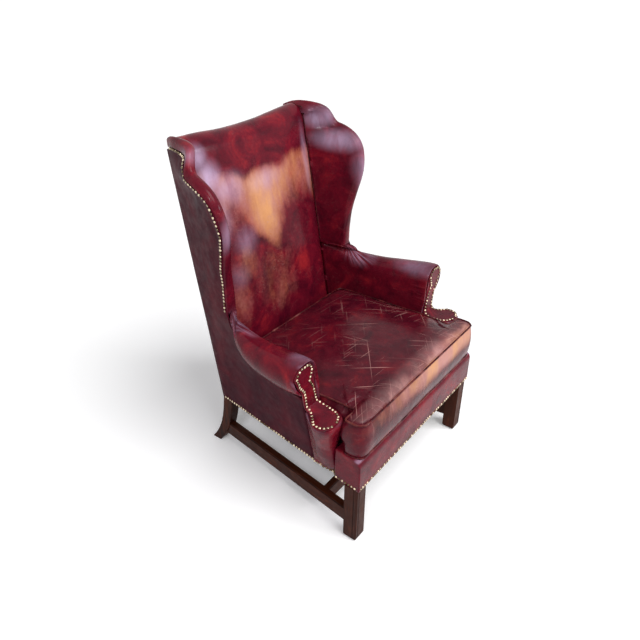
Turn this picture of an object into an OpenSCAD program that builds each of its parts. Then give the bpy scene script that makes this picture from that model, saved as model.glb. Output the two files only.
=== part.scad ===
// Wing chair with a loose T-shaped seat cushion: a carved wooden underframe,
// a hidden beech frame with webbing and springs, and nailed leather upholstery.
// X runs across the chair, +X to the sitter's left. -Y is the front, +Z is up.
// The origin is on the floor, under the middle of the chair.

/* [Overall] */
// Height of the ears of the crest above the floor
overall_h = 1101; // [1070:1:1140]
// Width over the outer sides of the arm rolls
overall_w = 838; // [815:1:865]
// Clear height under the seat frame
leg_clear = 218; // [195:1:240]

/* [Seat frame] */
// Distance of the arms' inner faces inside the front corners of the seat frame
arm_lap = 55.5; // [47:0.5:64]
// Distance that each side of the frame draws in from front to rear
frame_taper = 81.5; // [72:0.5:90]
// Depth from the faces of the front legs to the rear of the seat frame
seat_d = 617; // [595:1:640]
// Height of the seat rails
rail_h = 82; // [72:1:90]
// Thickness of the seat rails
rail_t = 28; // [22:1:32]
// Distance that the rear rail shows below the side rails
rear_rail_drop = 50; // [25:1:65]

/* [Legs and stretchers] */
// Side of the square front legs
front_leg_s = 46; // [42:1:50]
// Side of the square rear legs
rear_leg_s = 38; // [34:1:42]
// Distance that the rear feet stand behind the seat frame
rear_kick = 76; // [50:1:95]
// Height of the stretchers
stretcher_h = 50; // [40:1:58]
// Thickness of the stretchers
stretcher_t = 25; // [20:1:30]
// Height of the underside of the stretchers above the floor
stretcher_z = 50; // [35:1:75]
// Distance of the cross stretcher behind the front legs
cross_y = 136; // [110:1:260]
// Depth of the groove along each moulded edge
mould_d = 3; // [2:0.5:4]

/* [Back] */
// Backward lean of the back in degrees
back_rake = 9.5; // [7:0.5:12]
// Thickness of the stuffed back at its edges
back_t = 85; // [76:1:95]
// Distance of the edges of the inside back inside the rear legs
back_in = 2; // [0.5:0.5:10]
// Height that the middle of the inside back stands proud of its edges
back_crown = 22; // [10:1:28]
// Depth of the dip in the middle of the crest
crest_dip = 14; // [4:1:22]
// Height of the rolled edge of the crest
crest_roll = 50; // [42:1:56]

/* [Wings] */
// Greatest reach of the wings in front of the rear face of the back
wing_reach = 271; // [250:1:290]
// Greatest distance that a wing flares outside the rear legs
wing_flare = 97; // [80:1:108]
// Thickness of a wing over its stuffing
wing_t = 40; // [36:1:46]

/* [Arms] */
// Distance of the front faces of the arms behind the front legs
arm_front = 176; // [168:1:190]
// Height of the top of the arms at the front
arm_top = 617; // [600:1:632]
// Half the height of the arm roll at the front
roll_r = 57; // [52:1:60]
// Distance that the inner face of an arm stands inside its roll
arm_lead = 15; // [10:1:21]
// Thickness of the stuffing on the arms
arm_pad_t = 16; // [12:1:18]
// Height of the round lobe at the foot of the arm facing
lobe_z = 436; // [425:1:445]

/* [Cushion] */
// Thickness of the seat cushion between its welts
cushion_t = 120; // [105:1:130]
// Height of the crown of the cushion above its welts
cushion_crown = 26; // [14:1:34]
// Distance that the cushion stands in front of the legs
front_lead = 12; // [8:1:16]
// Depth of the ears of the cushion in front of the arms
ear_d = 62; // [54:1:66]
// Diameter of the welts
welt_d = 6; // [4:0.5:7]

/* [Nails] */
// Diameter of the nail heads
nail_d = 9.5; // [7:0.5:10]
// Spacing of the nails
nail_pitch = 11.6; // [10.5:0.1:16]

/* [Hidden] */

// Colours
leather = "#6b1a24";
leather_worn = "#8a2a28";
mahogany = "#4a2618";
beech = "#c79a66";
jute = "#b08d57";
brass = "#c2a15a";
black_cloth = "#26221f";
steel = "#8c8f94";
welt_red = "#4a0f18";
lining = "#d8cbb0";

// Clearances and thin goods
gap = 0.3;
leather_t = 4;
cloth_t = 1.5;
over = 1;
full_round = 360;
half_round = 180;
quarter_round = 90;
fine = 32;

// Reference lines
arm_w = 2 * roll_r + arm_lead;
arm_in_front = overall_w / 2 - arm_w;
front_hw = arm_in_front + arm_lap;
front_w = 2 * front_hw;
rear_hw = front_hw - frame_taper;
rail_top = leg_clear + rail_h;
deck_t = 28;
deck_z = rail_top + cloth_t + gap + deck_t;
side_lead = 3.5;
function lerp(a, b, t) = a + (b - a) * t;
function unit(v) = v / max(norm(v), 1e-9);
function clamp01(t) = min(1, max(0, t));
function smoothstep(t) = clamp01(t) * clamp01(t) * (3 - 2 * clamp01(t));
// Outer half width of the seat frame, y behind the front legs
function side_x(y) = lerp(front_hw - side_lead, rear_hw, y / seat_d);
// Rear face of the back, and the seam line of the inside back
function back_y(z) = seat_d + (z - leg_clear) * tan(back_rake);
function seam_y(z) = back_y(z) - back_t / cos(back_rake);
// Length of the back from the frame to the ears, along its lean
back_len = (overall_h - leg_clear - back_t / 2 * sin(back_rake)) / cos(back_rake);
overall_d = front_lead + seat_d + (back_len - crest_roll) * sin(back_rake);
front_y = front_lead - overall_d / 2;

// Places a piece that is drawn from the faces of the front legs
module from_front() translate([0, front_y, 0]) children();
// Places a piece that is drawn along the lean of the back
module on_back()
  from_front() translate([0, seat_d, leg_clear]) rotate([-back_rake, 0, 0]) children();
module scale_side(side) { if (side > 0) children(); else mirror([1, 0, 0]) children(); }

// Smooth curves through a few points
function spline_point(p, i, t) =
  let (n = len(p) - 1, a = p[max(i - 1, 0)], b = p[i], c = p[i + 1], d = p[min(i + 2, n)])
  0.5 * ((2 * b) + (c - a) * t + (2 * a - 5 * b + 4 * c - d) * t * t
    + (3 * b - 3 * c + d - a) * t * t * t);
function spline(p, steps) = [
  for (i = [0 : len(p) - 2]) for (k = [0 : steps - 1]) spline_point(p, i, k / steps),
  p[len(p) - 1]
];

// A grid of points and the normal at one of them
function grid_normal(g, i, j) =
  let (n = len(g) - 1, m = len(g[0]) - 1)
  unit(cross(g[min(i + 1, n)][j] - g[max(i - 1, 0)][j],
             g[i][min(j + 1, m)] - g[i][max(j - 1, 0)]));
// The same grid moved inwards by the thickness of each row
function inner_grid(g, t) = [
  for (i = [0 : len(g) - 1]) [
    for (j = [0 : len(g[0]) - 1])
      g[i][j] - (is_list(t) ? t[i] : t) * grid_normal(g, i, j)
  ]
];
function quad(a, b, c, d) = [[a, b, c], [a, c, d]];
// A closed solid between an outer and an inner grid, with triangles only
module between(outer, inner) {
  n = len(outer) - 1;
  m = len(outer[0]) - 1;
  w = m + 1;
  back = (n + 1) * w;
  faces = [
    for (i = [0 : n - 1]) for (j = [0 : m - 1]) for (q = concat(
      quad(i * w + j, i * w + j + 1, (i + 1) * w + j + 1, (i + 1) * w + j),
      quad(back + i * w + j, back + (i + 1) * w + j,
           back + (i + 1) * w + j + 1, back + i * w + j + 1))) q,
    for (j = [0 : m - 1]) for (q = concat(
      quad(j + 1, j, back + j, back + j + 1),
      quad(n * w + j, n * w + j + 1, back + n * w + j + 1, back + n * w + j))) q,
    for (i = [0 : n - 1]) for (q = concat(
      quad(i * w, (i + 1) * w, back + (i + 1) * w, back + i * w),
      quad((i + 1) * w + m, i * w + m, back + i * w + m, back + (i + 1) * w + m))) q
  ];
  polyhedron(points = [for (r = outer) for (p = r) p, for (r = inner) for (p = r) p],
             faces = faces);
}
// A skin of even thickness under a grid
module skin(g, t) between(g, inner_grid(g, t));
// A solid through closed rings, with fans over both ends
function centre(r) = [for (k = [0 : 2]) [for (p = r) p[k]] * [for (p = r) 1 / len(r)]];
module loft(rings) {
  n = len(rings) - 1;
  m = len(rings[0]);
  count = (n + 1) * m;
  faces = [
    for (i = [0 : n - 1]) for (j = [0 : m - 1]) for (q = quad(
      i * m + j, (i + 1) * m + j,
      (i + 1) * m + (j + 1) % m, i * m + (j + 1) % m)) q,
    for (j = [0 : m - 1]) [count, j, (j + 1) % m],
    for (j = [0 : m - 1]) [count + 1, n * m + (j + 1) % m, n * m + j]
  ];
  polyhedron(points = concat([for (r = rings) for (p = r) p], [centre(rings[0]), centre(rings[n])]),
             faces = faces);
}
// A round tube along points; up keeps its sides from twisting
function tube_ring(p, i, r, sides, up) =
  let (n = len(p) - 1, t = unit(p[min(i + 1, n)] - p[max(i - 1, 0)]),
       u = unit(cross(t, up)), v = cross(u, t))
  [for (k = [0 : sides - 1]) p[i] + r * (cos(k * full_round / sides) * v
                                         + sin(k * full_round / sides) * u)];
module tube(p, r, sides, up)
  loft([for (i = [0 : len(p) - 1]) tube_ring(p, i, r, sides, up)]);
// A tube whose ends meet
module ring_tube(p, r, sides, up) {
  n = len(p);
  rings = [for (i = [0 : n - 1])
    let (t = unit(p[(i + 1) % n] - p[(i + n - 1) % n]), u = unit(cross(t, up)), v = cross(u, t))
    [for (k = [0 : sides - 1]) p[i] + r * (cos(k * full_round / sides) * v
                                           + sin(k * full_round / sides) * u)]];
  polyhedron(points = [for (q = rings) for (a = q) a],
    faces = [for (i = [0 : n - 1]) for (j = [0 : sides - 1]) for (q = quad(
      i * sides + j, ((i + 1) % n) * sides + j,
      ((i + 1) % n) * sides + (j + 1) % sides, i * sides + (j + 1) % sides)) q]);
}

// Front legs: square, moulded on the two outer faces, chamfered at the foot,
// and rebated behind the leather where they rise inside the seat frame
border_t = 6;
foot_chamfer = 5;
foot_h = 9;
module leg_plan(inset)
  translate([front_hw - front_leg_s + inset, inset])
    square(front_leg_s - 2 * inset);
module front_leg(side) color(mahogany) scale_side(side) from_front() {
  groove_w = 2 * mould_d;
  difference() {
    union() {
      translate([0, 0, foot_h]) linear_extrude(leg_clear - foot_h) leg_plan(0);
      hull() {
        translate([0, 0, foot_h]) linear_extrude(over) leg_plan(0);
        linear_extrude(over) leg_plan(foot_chamfer);
      }
      translate([front_hw - front_leg_s, border_t, leg_clear])
        cube([front_leg_s - border_t, front_leg_s - border_t, rail_h]);
    }
    // Bead lines beside the outer corner of the leg
    for (m = [[front_hw - 2 * groove_w, 0], [front_hw, 2 * groove_w]])
      translate([m[0], m[1], -over])
        cylinder(h = leg_clear + over, r = mould_d / 2, $fn = fine);
    // Flat corner of the moulding
    translate([front_hw, 0, -over]) rotate([0, 0, quarter_round / 2])
      translate([-mould_d, -mould_d, 0]) cube([2 * mould_d, 2 * mould_d, leg_clear + over]);
  }
}

// Rear legs: raked feet that swing back, and stumps inside the frame
kick_line_share = 0.35;
leg_z_shares = [0, 0.35, 0.7, 1];
rear_front_y = seat_d - rear_leg_s;
stretcher_top = stretcher_z + stretcher_h;
function kick(z) =
  let (t = 1 - z / leg_clear)
  rear_kick * (kick_line_share * t + (1 - kick_line_share) * t * t * t);
// Heights at which the curve of the leg has a point
leg_zs = concat(
  [for (s = leg_z_shares) stretcher_z * s],
  [for (s = [1 : 3]) stretcher_z + stretcher_h * s / 3],
  [for (s = [1 : 4]) lerp(stretcher_top, leg_clear, s / 4)]);
module along_x(length) rotate([quarter_round, 0, quarter_round]) linear_extrude(length) children();
module rear_leg(side) color(mahogany) scale_side(side) from_front() {
  top = len(leg_zs) - 1;
  slot_y = seat_d - leather_t - gap;
  translate([rear_hw - rear_leg_s, 0, 0]) {
    along_x(rear_leg_s) polygon(concat(
      [for (z = leg_zs) [rear_front_y + kick(z), z]],
      [for (k = [top : -1 : 0]) [seat_d + kick(leg_zs[k]), leg_zs[k]]]));
    along_x(rear_leg_s - leather_t - gap) polygon([
      [rear_front_y, leg_clear], [slot_y, leg_clear],
      [slot_y + rail_h * tan(back_rake), rail_top], [rear_front_y, rail_top]]);
  }
}

// Stretchers: rectangular rails with a hollow along the upper edges
stretcher_in = 4;
function stretcher_out(y) = side_x(y) - stretcher_in;
module side_stretcher(side) color(mahogany) scale_side(side) from_front() {
  rear = rear_front_y + kick(stretcher_z);
  a = [stretcher_out(front_leg_s), front_leg_s];
  b = [stretcher_out(rear), rear];
  difference() {
    intersection() {
      translate([0, 0, stretcher_z]) linear_extrude(stretcher_h)
        polygon([a, b, [b[0] - stretcher_t, b[1]], [a[0] - stretcher_t, a[1]]]);
      // the rear end follows the curve of the rear leg
      along_x(front_hw) polygon(concat(
        [[a[1], stretcher_z]],
        [for (z = leg_zs) if (z >= stretcher_z && z <= stretcher_top) [rear_front_y + kick(z), z]],
        [[a[1], stretcher_top]]));
    }
    translate([a[0], a[1] - over, stretcher_top])
      rotate([-quarter_round, 0, atan2(a[0] - b[0], b[1] - a[1])])
        cylinder(h = seat_d, r = mould_d, $fn = fine);
  }
}
module cross_stretcher() color(mahogany) from_front() {
  wide = stretcher_out(cross_y) - stretcher_t;
  half = stretcher_out(cross_y + stretcher_t) - stretcher_t;
  difference() {
    translate([0, 0, stretcher_z]) linear_extrude(stretcher_h) polygon([
      [-wide, cross_y], [wide, cross_y],
      [half, cross_y + stretcher_t], [-half, cross_y + stretcher_t]]);
    for (y = [cross_y, cross_y + stretcher_t])
      translate([-front_hw, y, stretcher_top]) rotate([0, quarter_round, 0])
        cylinder(h = front_w, r = mould_d, $fn = fine);
  }
}

// Seat rails and the triangular blocks glued into their corners
block_s = 62;
block_h = 45;
function rail_out(y) = side_x(y) - leather_t - gap;
function rail_in(y) = rail_out(y) - rail_t;
module front_rail() color(beech) from_front()
  translate([front_leg_s - front_hw, border_t, leg_clear])
    cube([front_w - 2 * front_leg_s, rail_t, rail_h]);
module rear_rail() color(mahogany) from_front() {
  in_x = rear_hw - rear_leg_s;
  translate([-in_x, rear_front_y, leg_clear - rear_rail_drop])
    cube([2 * in_x, rail_t, rail_h + rear_rail_drop]);
}
module side_rail(side) color(beech) scale_side(side) from_front()
  translate([0, 0, leg_clear]) linear_extrude(rail_h) polygon([
    [rail_out(front_leg_s), front_leg_s], [rail_out(rear_front_y), rear_front_y],
    [rail_in(rear_front_y), rear_front_y], [rail_in(front_leg_s), front_leg_s]]);
module corner_blocks() color(beech) from_front() {
  leg_x = front_hw - front_leg_s;
  rail_y = border_t + rail_t;
  front_end = front_leg_s + block_s;
  rear_end = rear_front_y - block_s;
  translate([0, 0, leg_clear + (rail_h - block_h) / 2]) linear_extrude(block_h)
    for (s = [-1, 1]) {
      polygon([[s * leg_x, rail_y], [s * (leg_x - block_s), rail_y],
        [s * rail_in(front_end), front_end], [s * rail_in(front_leg_s), front_leg_s],
        [s * leg_x, front_leg_s]]);
      polygon([[s * rail_in(rear_front_y), rear_front_y],
        [s * (rail_in(rear_front_y) - block_s), rear_front_y],
        [s * rail_in(rear_end), rear_end]]);
    }
}

// The frame of the back, drawn along its lean: y is 0 on the outside back
post_d = 30;
web_t = 2;
web_w = 50;
lower_rail_z = 345;
lower_rail_h = 50;
crest_rail_h = 88;
post_x = rear_hw - leather_t - gap;
post_rear = -leather_t - gap;
post_front = post_rear - post_d;
pad_rear = post_front - 2 * web_t - 3 * gap;
back_hw = rear_hw - back_in;
crest_low = back_len - crest_rail_h;
function crest_len(x) =
  back_len - crest_dip * (1 + cos(half_round * min(abs(x) / back_hw, 1))) / 2;
// From the lean of the back to y and z, and the length along it at a height
function on_lean(y, l) = [
  seat_d + y * cos(back_rake) + l * sin(back_rake),
  leg_clear - y * sin(back_rake) + l * cos(back_rake)];
lean_down = [-sin(back_rake), -cos(back_rake)];
function lean_at(y, z) = (z - leg_clear + y * sin(back_rake)) / cos(back_rake);
module back_post(side) color(beech) scale_side(side) from_front()
  translate([rear_hw - rear_leg_s, 0, 0]) along_x(post_x - rear_hw + rear_leg_s) polygon([
    on_lean(post_front, lean_at(post_front, rail_top)), on_lean(post_rear, lean_at(post_rear, rail_top)),
    on_lean(post_rear, crest_low), on_lean(post_front, crest_low)]);
// A board across the back whose top follows the crest
crest_steps = 10;
module back_board(rear, depth, half, low, drop)
  on_back() translate([0, rear, 0]) rotate([quarter_round, 0, 0]) linear_extrude(depth)
    polygon(concat([[-half, low], [half, low]],
      [for (k = [crest_steps : -1 : -crest_steps])
        [half * k / crest_steps, crest_len(half * k / crest_steps) - drop]]));
module crest_rail() color(beech)
  back_board(post_rear, post_d, post_x, crest_low, crest_roll + gap);
module lower_back_rail() color(beech) {
  half = rear_hw - rear_leg_s;
  low = lean_at(post_rear, lower_rail_z);
  on_back() translate([-half, post_front, low]) cube([2 * half, post_d, lower_rail_h]);
}
module outside_back() color(leather)
  back_board(0, leather_t, post_x, 0, crest_roll + back_tail + gap);
module back_webbing() color(jute) on_back() {
  low = lean_at(post_rear, lower_rail_z) + lower_rail_h / 4;
  high = crest_low + crest_rail_h / 5;
  half = post_x - arm_rail_w / 2;
  pitch = (high - low - 2 * web_w) / back_webs_across;
  for (k = [1 : back_webs_across])
    translate([-half, post_front - web_t, low + pitch * (k - 1) + 2 * web_w])
      cube([2 * half, web_t, web_w]);
  for (k = [-1, 0, 1])
    translate([k * half / 2 - web_w / 2, post_front - 2 * web_t - gap, low])
      cube([web_w, web_t, high - low]);
}

// Stuffed inside back with its crown, rolled over the crest
back_tail = 10;
back_cols = 12;
back_webs_across = 5;
back_row_shares = [0, 0.045, 0.14, 0.26, 0.4, 0.54, 0.68, 0.82, 0.93, 1];
roll_angle_shares = [0.12, 0.26, 0.4, 0.54, 0.68, 0.84, 1];
crown_start_share = 0.04;
crown_full_share = 0.36;
crown_fade_share = 0.55;
crown_top_share = 0.35;
back_edge_share = 0.885;
function crown_at(u, s) =
  back_crown * (1 - u * u * u * u)
  * smoothstep((s - crown_start_share) / (crown_full_share - crown_start_share))
  * (1 - (1 - crown_top_share) * smoothstep((s - crown_fade_share) / (1 - crown_fade_share)));
stuff_low = rail_top + cloth_t + gap;
module inside_back() color(leather) on_back() {
  us = [for (j = [0 : back_cols]) 1 - 2 * j / back_cols];
  outer = concat(
    [for (s = back_row_shares) [for (u = us)
      let (y = -back_t - crown_at(u, s), low = lean_at(y, stuff_low),
           high = crest_len(u * back_hw) - crest_roll)
      [u * back_hw, y, lerp(low, high, s)]]],
    [for (s = roll_angle_shares) [for (u = us)
      let (a = half_round * (1 - s), c = crown_at(u, 1) * (1 - s))
      [u * lerp(back_hw, post_x, s), -back_t / 2 + (back_t / 2 + c) * cos(a),
       crest_len(u * back_hw) - crest_roll * (1 - sin(a))]]],
    [[for (u = us) [u * post_x, 0, crest_len(u * back_hw) - crest_roll - back_tail]]]);
  inner = concat(
    [for (s = back_row_shares) [for (u = us)
      let (low = lean_at(pad_rear, stuff_low), high = crest_len(u * back_hw) - crest_roll)
      [u * back_hw * back_edge_share, pad_rear, lerp(low, high + gap, s)]]],
    [for (s = roll_angle_shares) [for (u = us)
      [u * lerp(back_hw * back_edge_share, post_x, s), lerp(pad_rear, -leather_t, s),
       crest_len(u * back_hw) - crest_roll + gap]]],
    [[for (u = us) [u * post_x, -leather_t,
       crest_len(u * back_hw) - crest_roll - back_tail]]]);
  between(outer, inner);
}

// Edge of the wings in the side view: shares of the height above the arm,
// of the reach in front of the back and of the flare outside the rear legs
wing_low_share = 0.972;
wing_base = arm_top * wing_low_share;
wing_z_shares = [0.05, 0.2, 0.339, 0.459, 0.569, 0.659, 0.7485, 0.818, 0.858, 0.88,
                 0.884, 0.942, 0.986, 0.998, 0.998, 0.99, 0.97];
wing_reach_shares = [0.672, 0.727, 0.8, 0.9, 0.978, 1, 0.989, 0.917, 0.808, 0.701,
                     0.627, 0.605, 0.553, 0.406, 0.22, 0.11, 0.02];
wing_flare_shares = [0.557, 0.577, 0.68, 0.763, 0.856, 0.938, 0.99, 1, 0.979, 0.938,
                     0.876, 0.711, 0.526, 0.37, 0.25, 0.13, 0.05];
wing_seam_shares = [0.05, 0.17, 0.3, 0.41, 0.52, 0.61, 0.69, 0.75, 0.8, 0.835,
                    0.86, 0.89, 0.925];
wing_inset_shares = [0.25, 0.45, 0.8];
wing_skin_shares = [1, 1, 1, 1, 1, 1, 1, 1, 1, 1, 1, 1, 0.9, 0.7, 0.5, 0.35, 0.2];
wing_last = len(wing_z_shares) - 1;
wing_skin_t = 8;
ear_skin_d = 30;
function wing_z(share) = wing_base + share * (overall_h - wing_base);
function wing_e(i) =
  let (z = wing_z(wing_z_shares[i])) [back_y(z) - wing_reach_shares[i] * wing_reach, z];
function wing_n(i) =
  let (t = unit(wing_e(min(i + 1, wing_last)) - wing_e(max(i - 1, 0)))) [t[1], -t[0]];
function wing_x(i) = rear_hw + wing_flare_shares[i] * wing_flare;
wing_in_x = back_hw + 2 * gap;
function wing_half(i) = min(wing_t, wing_x(i) - wing_in_x) / 2;
function wing_inset(i) = wing_t / 2 * (i < len(wing_inset_shares) ? wing_inset_shares[i] : 1);
// A point of a wing at x, a distance d inside its edge
function wing_at(i, x, d) =
  let (p = wing_e(i) + d * wing_n(i)) [x, p[0], p[1]];
function wing_b(i) = wing_at(i, wing_x(i), wing_inset(i));
function wing_a(i) = i < len(wing_seam_shares)
  ? let (z = wing_z(wing_seam_shares[i])) [wing_in_x, seam_y(z), z]
  : wing_at(i, wing_in_x, ear_skin_d);
wing_edge_steps = 6;
function wing_row(i) =
  let (c = wing_x(i) - wing_half(i), last = wing_at(i, wing_x(i) - 2 * wing_half(i), wing_inset(i)))
  concat(
    [for (k = [0 : wing_edge_steps]) let (a = half_round * k / wing_edge_steps)
      wing_at(i, c + wing_half(i) * cos(a), wing_inset(i) * (1 - sin(a)))],
    [lerp(last, wing_a(i), 1 / 2), wing_a(i)]);
module inside_wing(side) color(leather) scale_side(side) from_front()
  skin([for (i = [0 : wing_last]) wing_row(i)],
       [for (s = wing_skin_shares) s * wing_skin_t]);

// Inner face, roll and underside of the arms, in sections from front to rear
arm_y_shares = [0, 0.014, 0.19, 0.417, 0.599];
arm_in_shares = [0, 0.02, 0.275, 0.55, 0.627];
arm_rear_share = 0.837;
roll_out_shares = [1, 1, 1.028, 0.917, 0.708];
roll_x_shares = [0.9, 1, 0.965, 0.877, 0.7];
roll_z_shares = [0.9, 1, 0.982, 0.825, 0.614];
roll_drop_shares = [0.1, 0, 0.158, 0.439, 0.474];
seam_x_shares = [0.228, 0.228, 0.193, 0.175, 0.21];
seam_z_shares = [1.02, 1.105, 1.088, 0.842, 0.175];
arm_bulge_shares = [0, 0, 0.02, 0.08, 0.2];
arm_face_shares = [0, 0.26, 0.52, 0.79, 1];
arm_skin_shares = [0.9, 1, 1, 0.9, 0.7, 0.3];
arm_face_h_share = 0.84;
roll_start = 165;
roll_end = -60;
roll_steps = 7;
arm_seam = 2.5;
arm_in_rear = back_hw + arm_seam;
function arm_y(share) = arm_front + share * (seat_d - arm_front);
function arm_in_x(share) = lerp(arm_in_front, arm_in_rear, share);
function arm_in(y) = lookup(y, concat(
  [for (k = [0 : len(arm_y_shares) - 1]) [arm_y(arm_y_shares[k]), arm_in_x(arm_in_shares[k])]],
  [[arm_y(arm_rear_share), arm_in_rear]]));
function roll_c(k) = [
  arm_in_x(arm_in_shares[k]) + roll_out_shares[k] * (arm_w - roll_r),
  arm_top - roll_r * (roll_drop_shares[k] + roll_z_shares[k])];
function roll_seam(k) =
  [roll_c(k)[0] + seam_x_shares[k] * roll_r, roll_c(k)[1] - seam_z_shares[k] * roll_r];
arm_face_top = stuff_low + (arm_top - roll_r - stuff_low) * arm_face_h_share;
function arm_row(k) =
  let (y = arm_y(arm_y_shares[k]), x = arm_in_x(arm_in_shares[k]), c = roll_c(k))
  concat(
    [[roll_seam(k)[0], y, roll_seam(k)[1]]],
    [for (i = [roll_steps : -1 : 0]) let (a = lerp(roll_start, roll_end, i / roll_steps))
      [c[0] + roll_x_shares[k] * roll_r * cos(a), y, c[1] + roll_z_shares[k] * roll_r * sin(a)]],
    [for (i = [len(arm_face_shares) - 1 : -1 : 0])
      [x + arm_bulge_shares[i] * roll_r, y, lerp(stuff_low, arm_face_top, arm_face_shares[i])]]);
// Line along which an arm meets the wing and the back: shares of the flare,
// of the seat depth and of the height of the arm
crease_shares = [[0.701, 0.778, 0.971], [0.66, 0.784, 0.982], [0.546, 0.797, 1],
                 [0.423, 0.818, 1.008], [0.25, 0.81, 1.006], [0.12, 0.832, 1.006],
                 [0.04, 0.925, 1.003]];
arm_seam_z_shares = [0.99, 0.94];
arm_crease = concat(
  [for (c = crease_shares)
    [back_hw + c[0] * wing_flare, c[1] * seat_d, c[2] * arm_top]],
  [for (s = arm_seam_z_shares) [arm_in_rear, seam_y(s * arm_top) - gap, s * arm_top]],
  [for (i = [len(arm_face_shares) - 1 : -1 : 0])
    let (z = lerp(stuff_low, arm_face_top, arm_face_shares[i]))
    [arm_in_rear, seam_y(z) - gap, z]]);
module arm_pad(side) color(leather) scale_side(side) from_front()
  skin(concat([for (k = [0 : len(arm_y_shares) - 1]) arm_row(k)], [arm_crease]),
       [for (s = arm_skin_shares) s * arm_pad_t]);

// Outer sides of the chair, from the rail up under the arm roll to the wing
panel_low_shares = [0, 0.31, 0.68, 1];
panel_out_shares = [0, 0.33, 0.7, 1];
panel_rear_shares = [0, 0.15, 0.31, 0.46, 0.58, 0.7, 0.82, 0.93];
panel_wing_shares = [0.04, 0.12, 0.22, 0.33, 0.45, 0.55, 0.63, 0.7, 0.75, 0.79, 0.82, 0.85,
                     0.88, 0.9, 0.91, 0.918];
panel_cols = 4;
panel_lap = 3;
panel_gap = 5;
panel_y = arm_front + 2 * gap;
panel_front = [
  for (k = [0 : len(panel_low_shares) - 1])
    let (top = roll_seam(1) - [panel_lap, panel_lap + leather_t])
    [lerp(side_x(panel_y), top[0], panel_out_shares[k]), panel_y,
     lerp(leg_clear, top[1], panel_low_shares[k])],
  for (k = [2 : len(arm_y_shares) - 1])
    [roll_seam(k)[0] - panel_lap, arm_y(arm_y_shares[k]), roll_seam(k)[1] - panel_lap - leather_t],
  arm_crease[0] + [-panel_lap, 3 * panel_lap, -2 * panel_lap - leather_t]
];
panel_edges = concat(
  [for (k = [0 : len(panel_front) - 1])
    let (z = lerp(leg_clear, wing_base, panel_rear_shares[k]))
    [panel_front[k], [rear_hw, back_y(z), z]]],
  [for (i = [0 : len(panel_wing_shares) - 1])
    let (z = wing_z(panel_wing_shares[i]), f = wing_at(i, wing_x(i), wing_inset(i) + panel_gap))
    [f, [rear_hw, back_y(z), z]]]);
module outside_panel(side) color(leather) scale_side(side) from_front()
  skin([for (e = panel_edges) [for (j = [0 : panel_cols]) lerp(e[1], e[0], j / panel_cols)]],
       leather_t);

// Hidden wood of the arms and wings
function box_ring(c, half_x, half_n, n) = [
  for (s = [[1, 1], [-1, 1], [-1, -1], [1, -1]])
    c + [s[0] * half_x, s[1] * half_n * n[0], s[1] * half_n * n[1]]];
arm_rail_w = 36;
arm_rail_h = 22;
arm_rail_shares = [[1, 1], [0.9, 1], [0.8, 0.9], [0.5, 0.8], [0.36, 0.9], [0.38, 0.9], [0.38, 0.9]];
arm_rail_turn = 6;
arm_post_t = 28;
// Rear of the arm rail: shares of the flare, of the seat depth and of the height of the arm
arm_rail_rear_shares = [[0.135, 0.96, 0.94], [0.015, 1, 0.943]];
arm_rail_end_share = 0.945;
arm_rail_in_share = 0.134;
arm_rail_end_z = arm_top * arm_rail_end_share;
arm_rail_last = len(arm_y_shares) - 1;
arm_rail_bends = concat(
  [for (k = [1 : arm_rail_last])
    [roll_c(k)[0] - (k == arm_rail_last ? arm_rail_turn : 0),
     k == 1 ? arm_front + arm_post_t + 2 * gap : arm_y(arm_y_shares[k]), roll_c(k)[1]]],
  [for (s = arm_rail_rear_shares) [arm_in_rear + wing_flare * s[0], seat_d * s[1], arm_top * s[2]]],
  [[rear_hw - wing_flare * arm_rail_in_share,
    on_lean(post_front - gap, lean_at(post_front, arm_rail_end_z))[0], arm_rail_end_z]]);
function arm_rail_z(y) = lookup(y, [for (b = arm_rail_bends) [b[1], b[2]]]);
module arm_rail(side) color(beech) scale_side(side) from_front()
  loft([for (k = [0 : len(arm_rail_bends) - 1])
    box_ring(arm_rail_bends[k], arm_rail_w / 2 * arm_rail_shares[k][0],
             arm_rail_h / 2 * arm_rail_shares[k][1],
             k == len(arm_rail_bends) - 1 ? lean_down : [0, -1])]);
arm_post_foot = 16;
arm_post_r_share = 0.82;
arm_post_waist_share = 0.65;
arm_post_out_share = 0.7;
arm_post_in_share = 0.15;
module arm_post(side) color(beech) scale_side(side) from_front() {
  c = roll_c(1);
  r = (roll_r - arm_pad_t) * arm_post_r_share;
  x = arm_in_front + arm_pad_t + gap;
  waist = lerp(rail_top, c[1], arm_post_waist_share);
  translate([0, arm_front + gap + arm_post_t, 0]) rotate([quarter_round, 0, 0])
    linear_extrude(arm_post_t) {
      translate(c) circle(r = r, $fn = fine);
      polygon([[x, rail_top], [x + arm_post_foot, rail_top],
        [lerp(x, c[0], arm_post_out_share), waist], [c[0], c[1] - r], [c[0], c[1]],
        [c[0] - r, c[1]], [lerp(x, c[0], arm_post_in_share), waist]]);
    }
}
wing_rail_w = 10;
wing_rail_d = 14;
wing_rail_in = 46;
wing_rail_turn_share = 0.128;
wing_rail_end_in = 1;
back_bend_shares = [0.9, 0.68];
wing_rail_stations = [0, 1, 2, 3, 4, 5, 6, 7, 9, 10, 11];
turn_station = 13;
function wing_rail_at(i) = wing_at(i,
  wing_x(i) - wing_t / 2 - wing_flare_shares[i] * wing_rail_turn_share * wing_flare, wing_rail_in);
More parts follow.
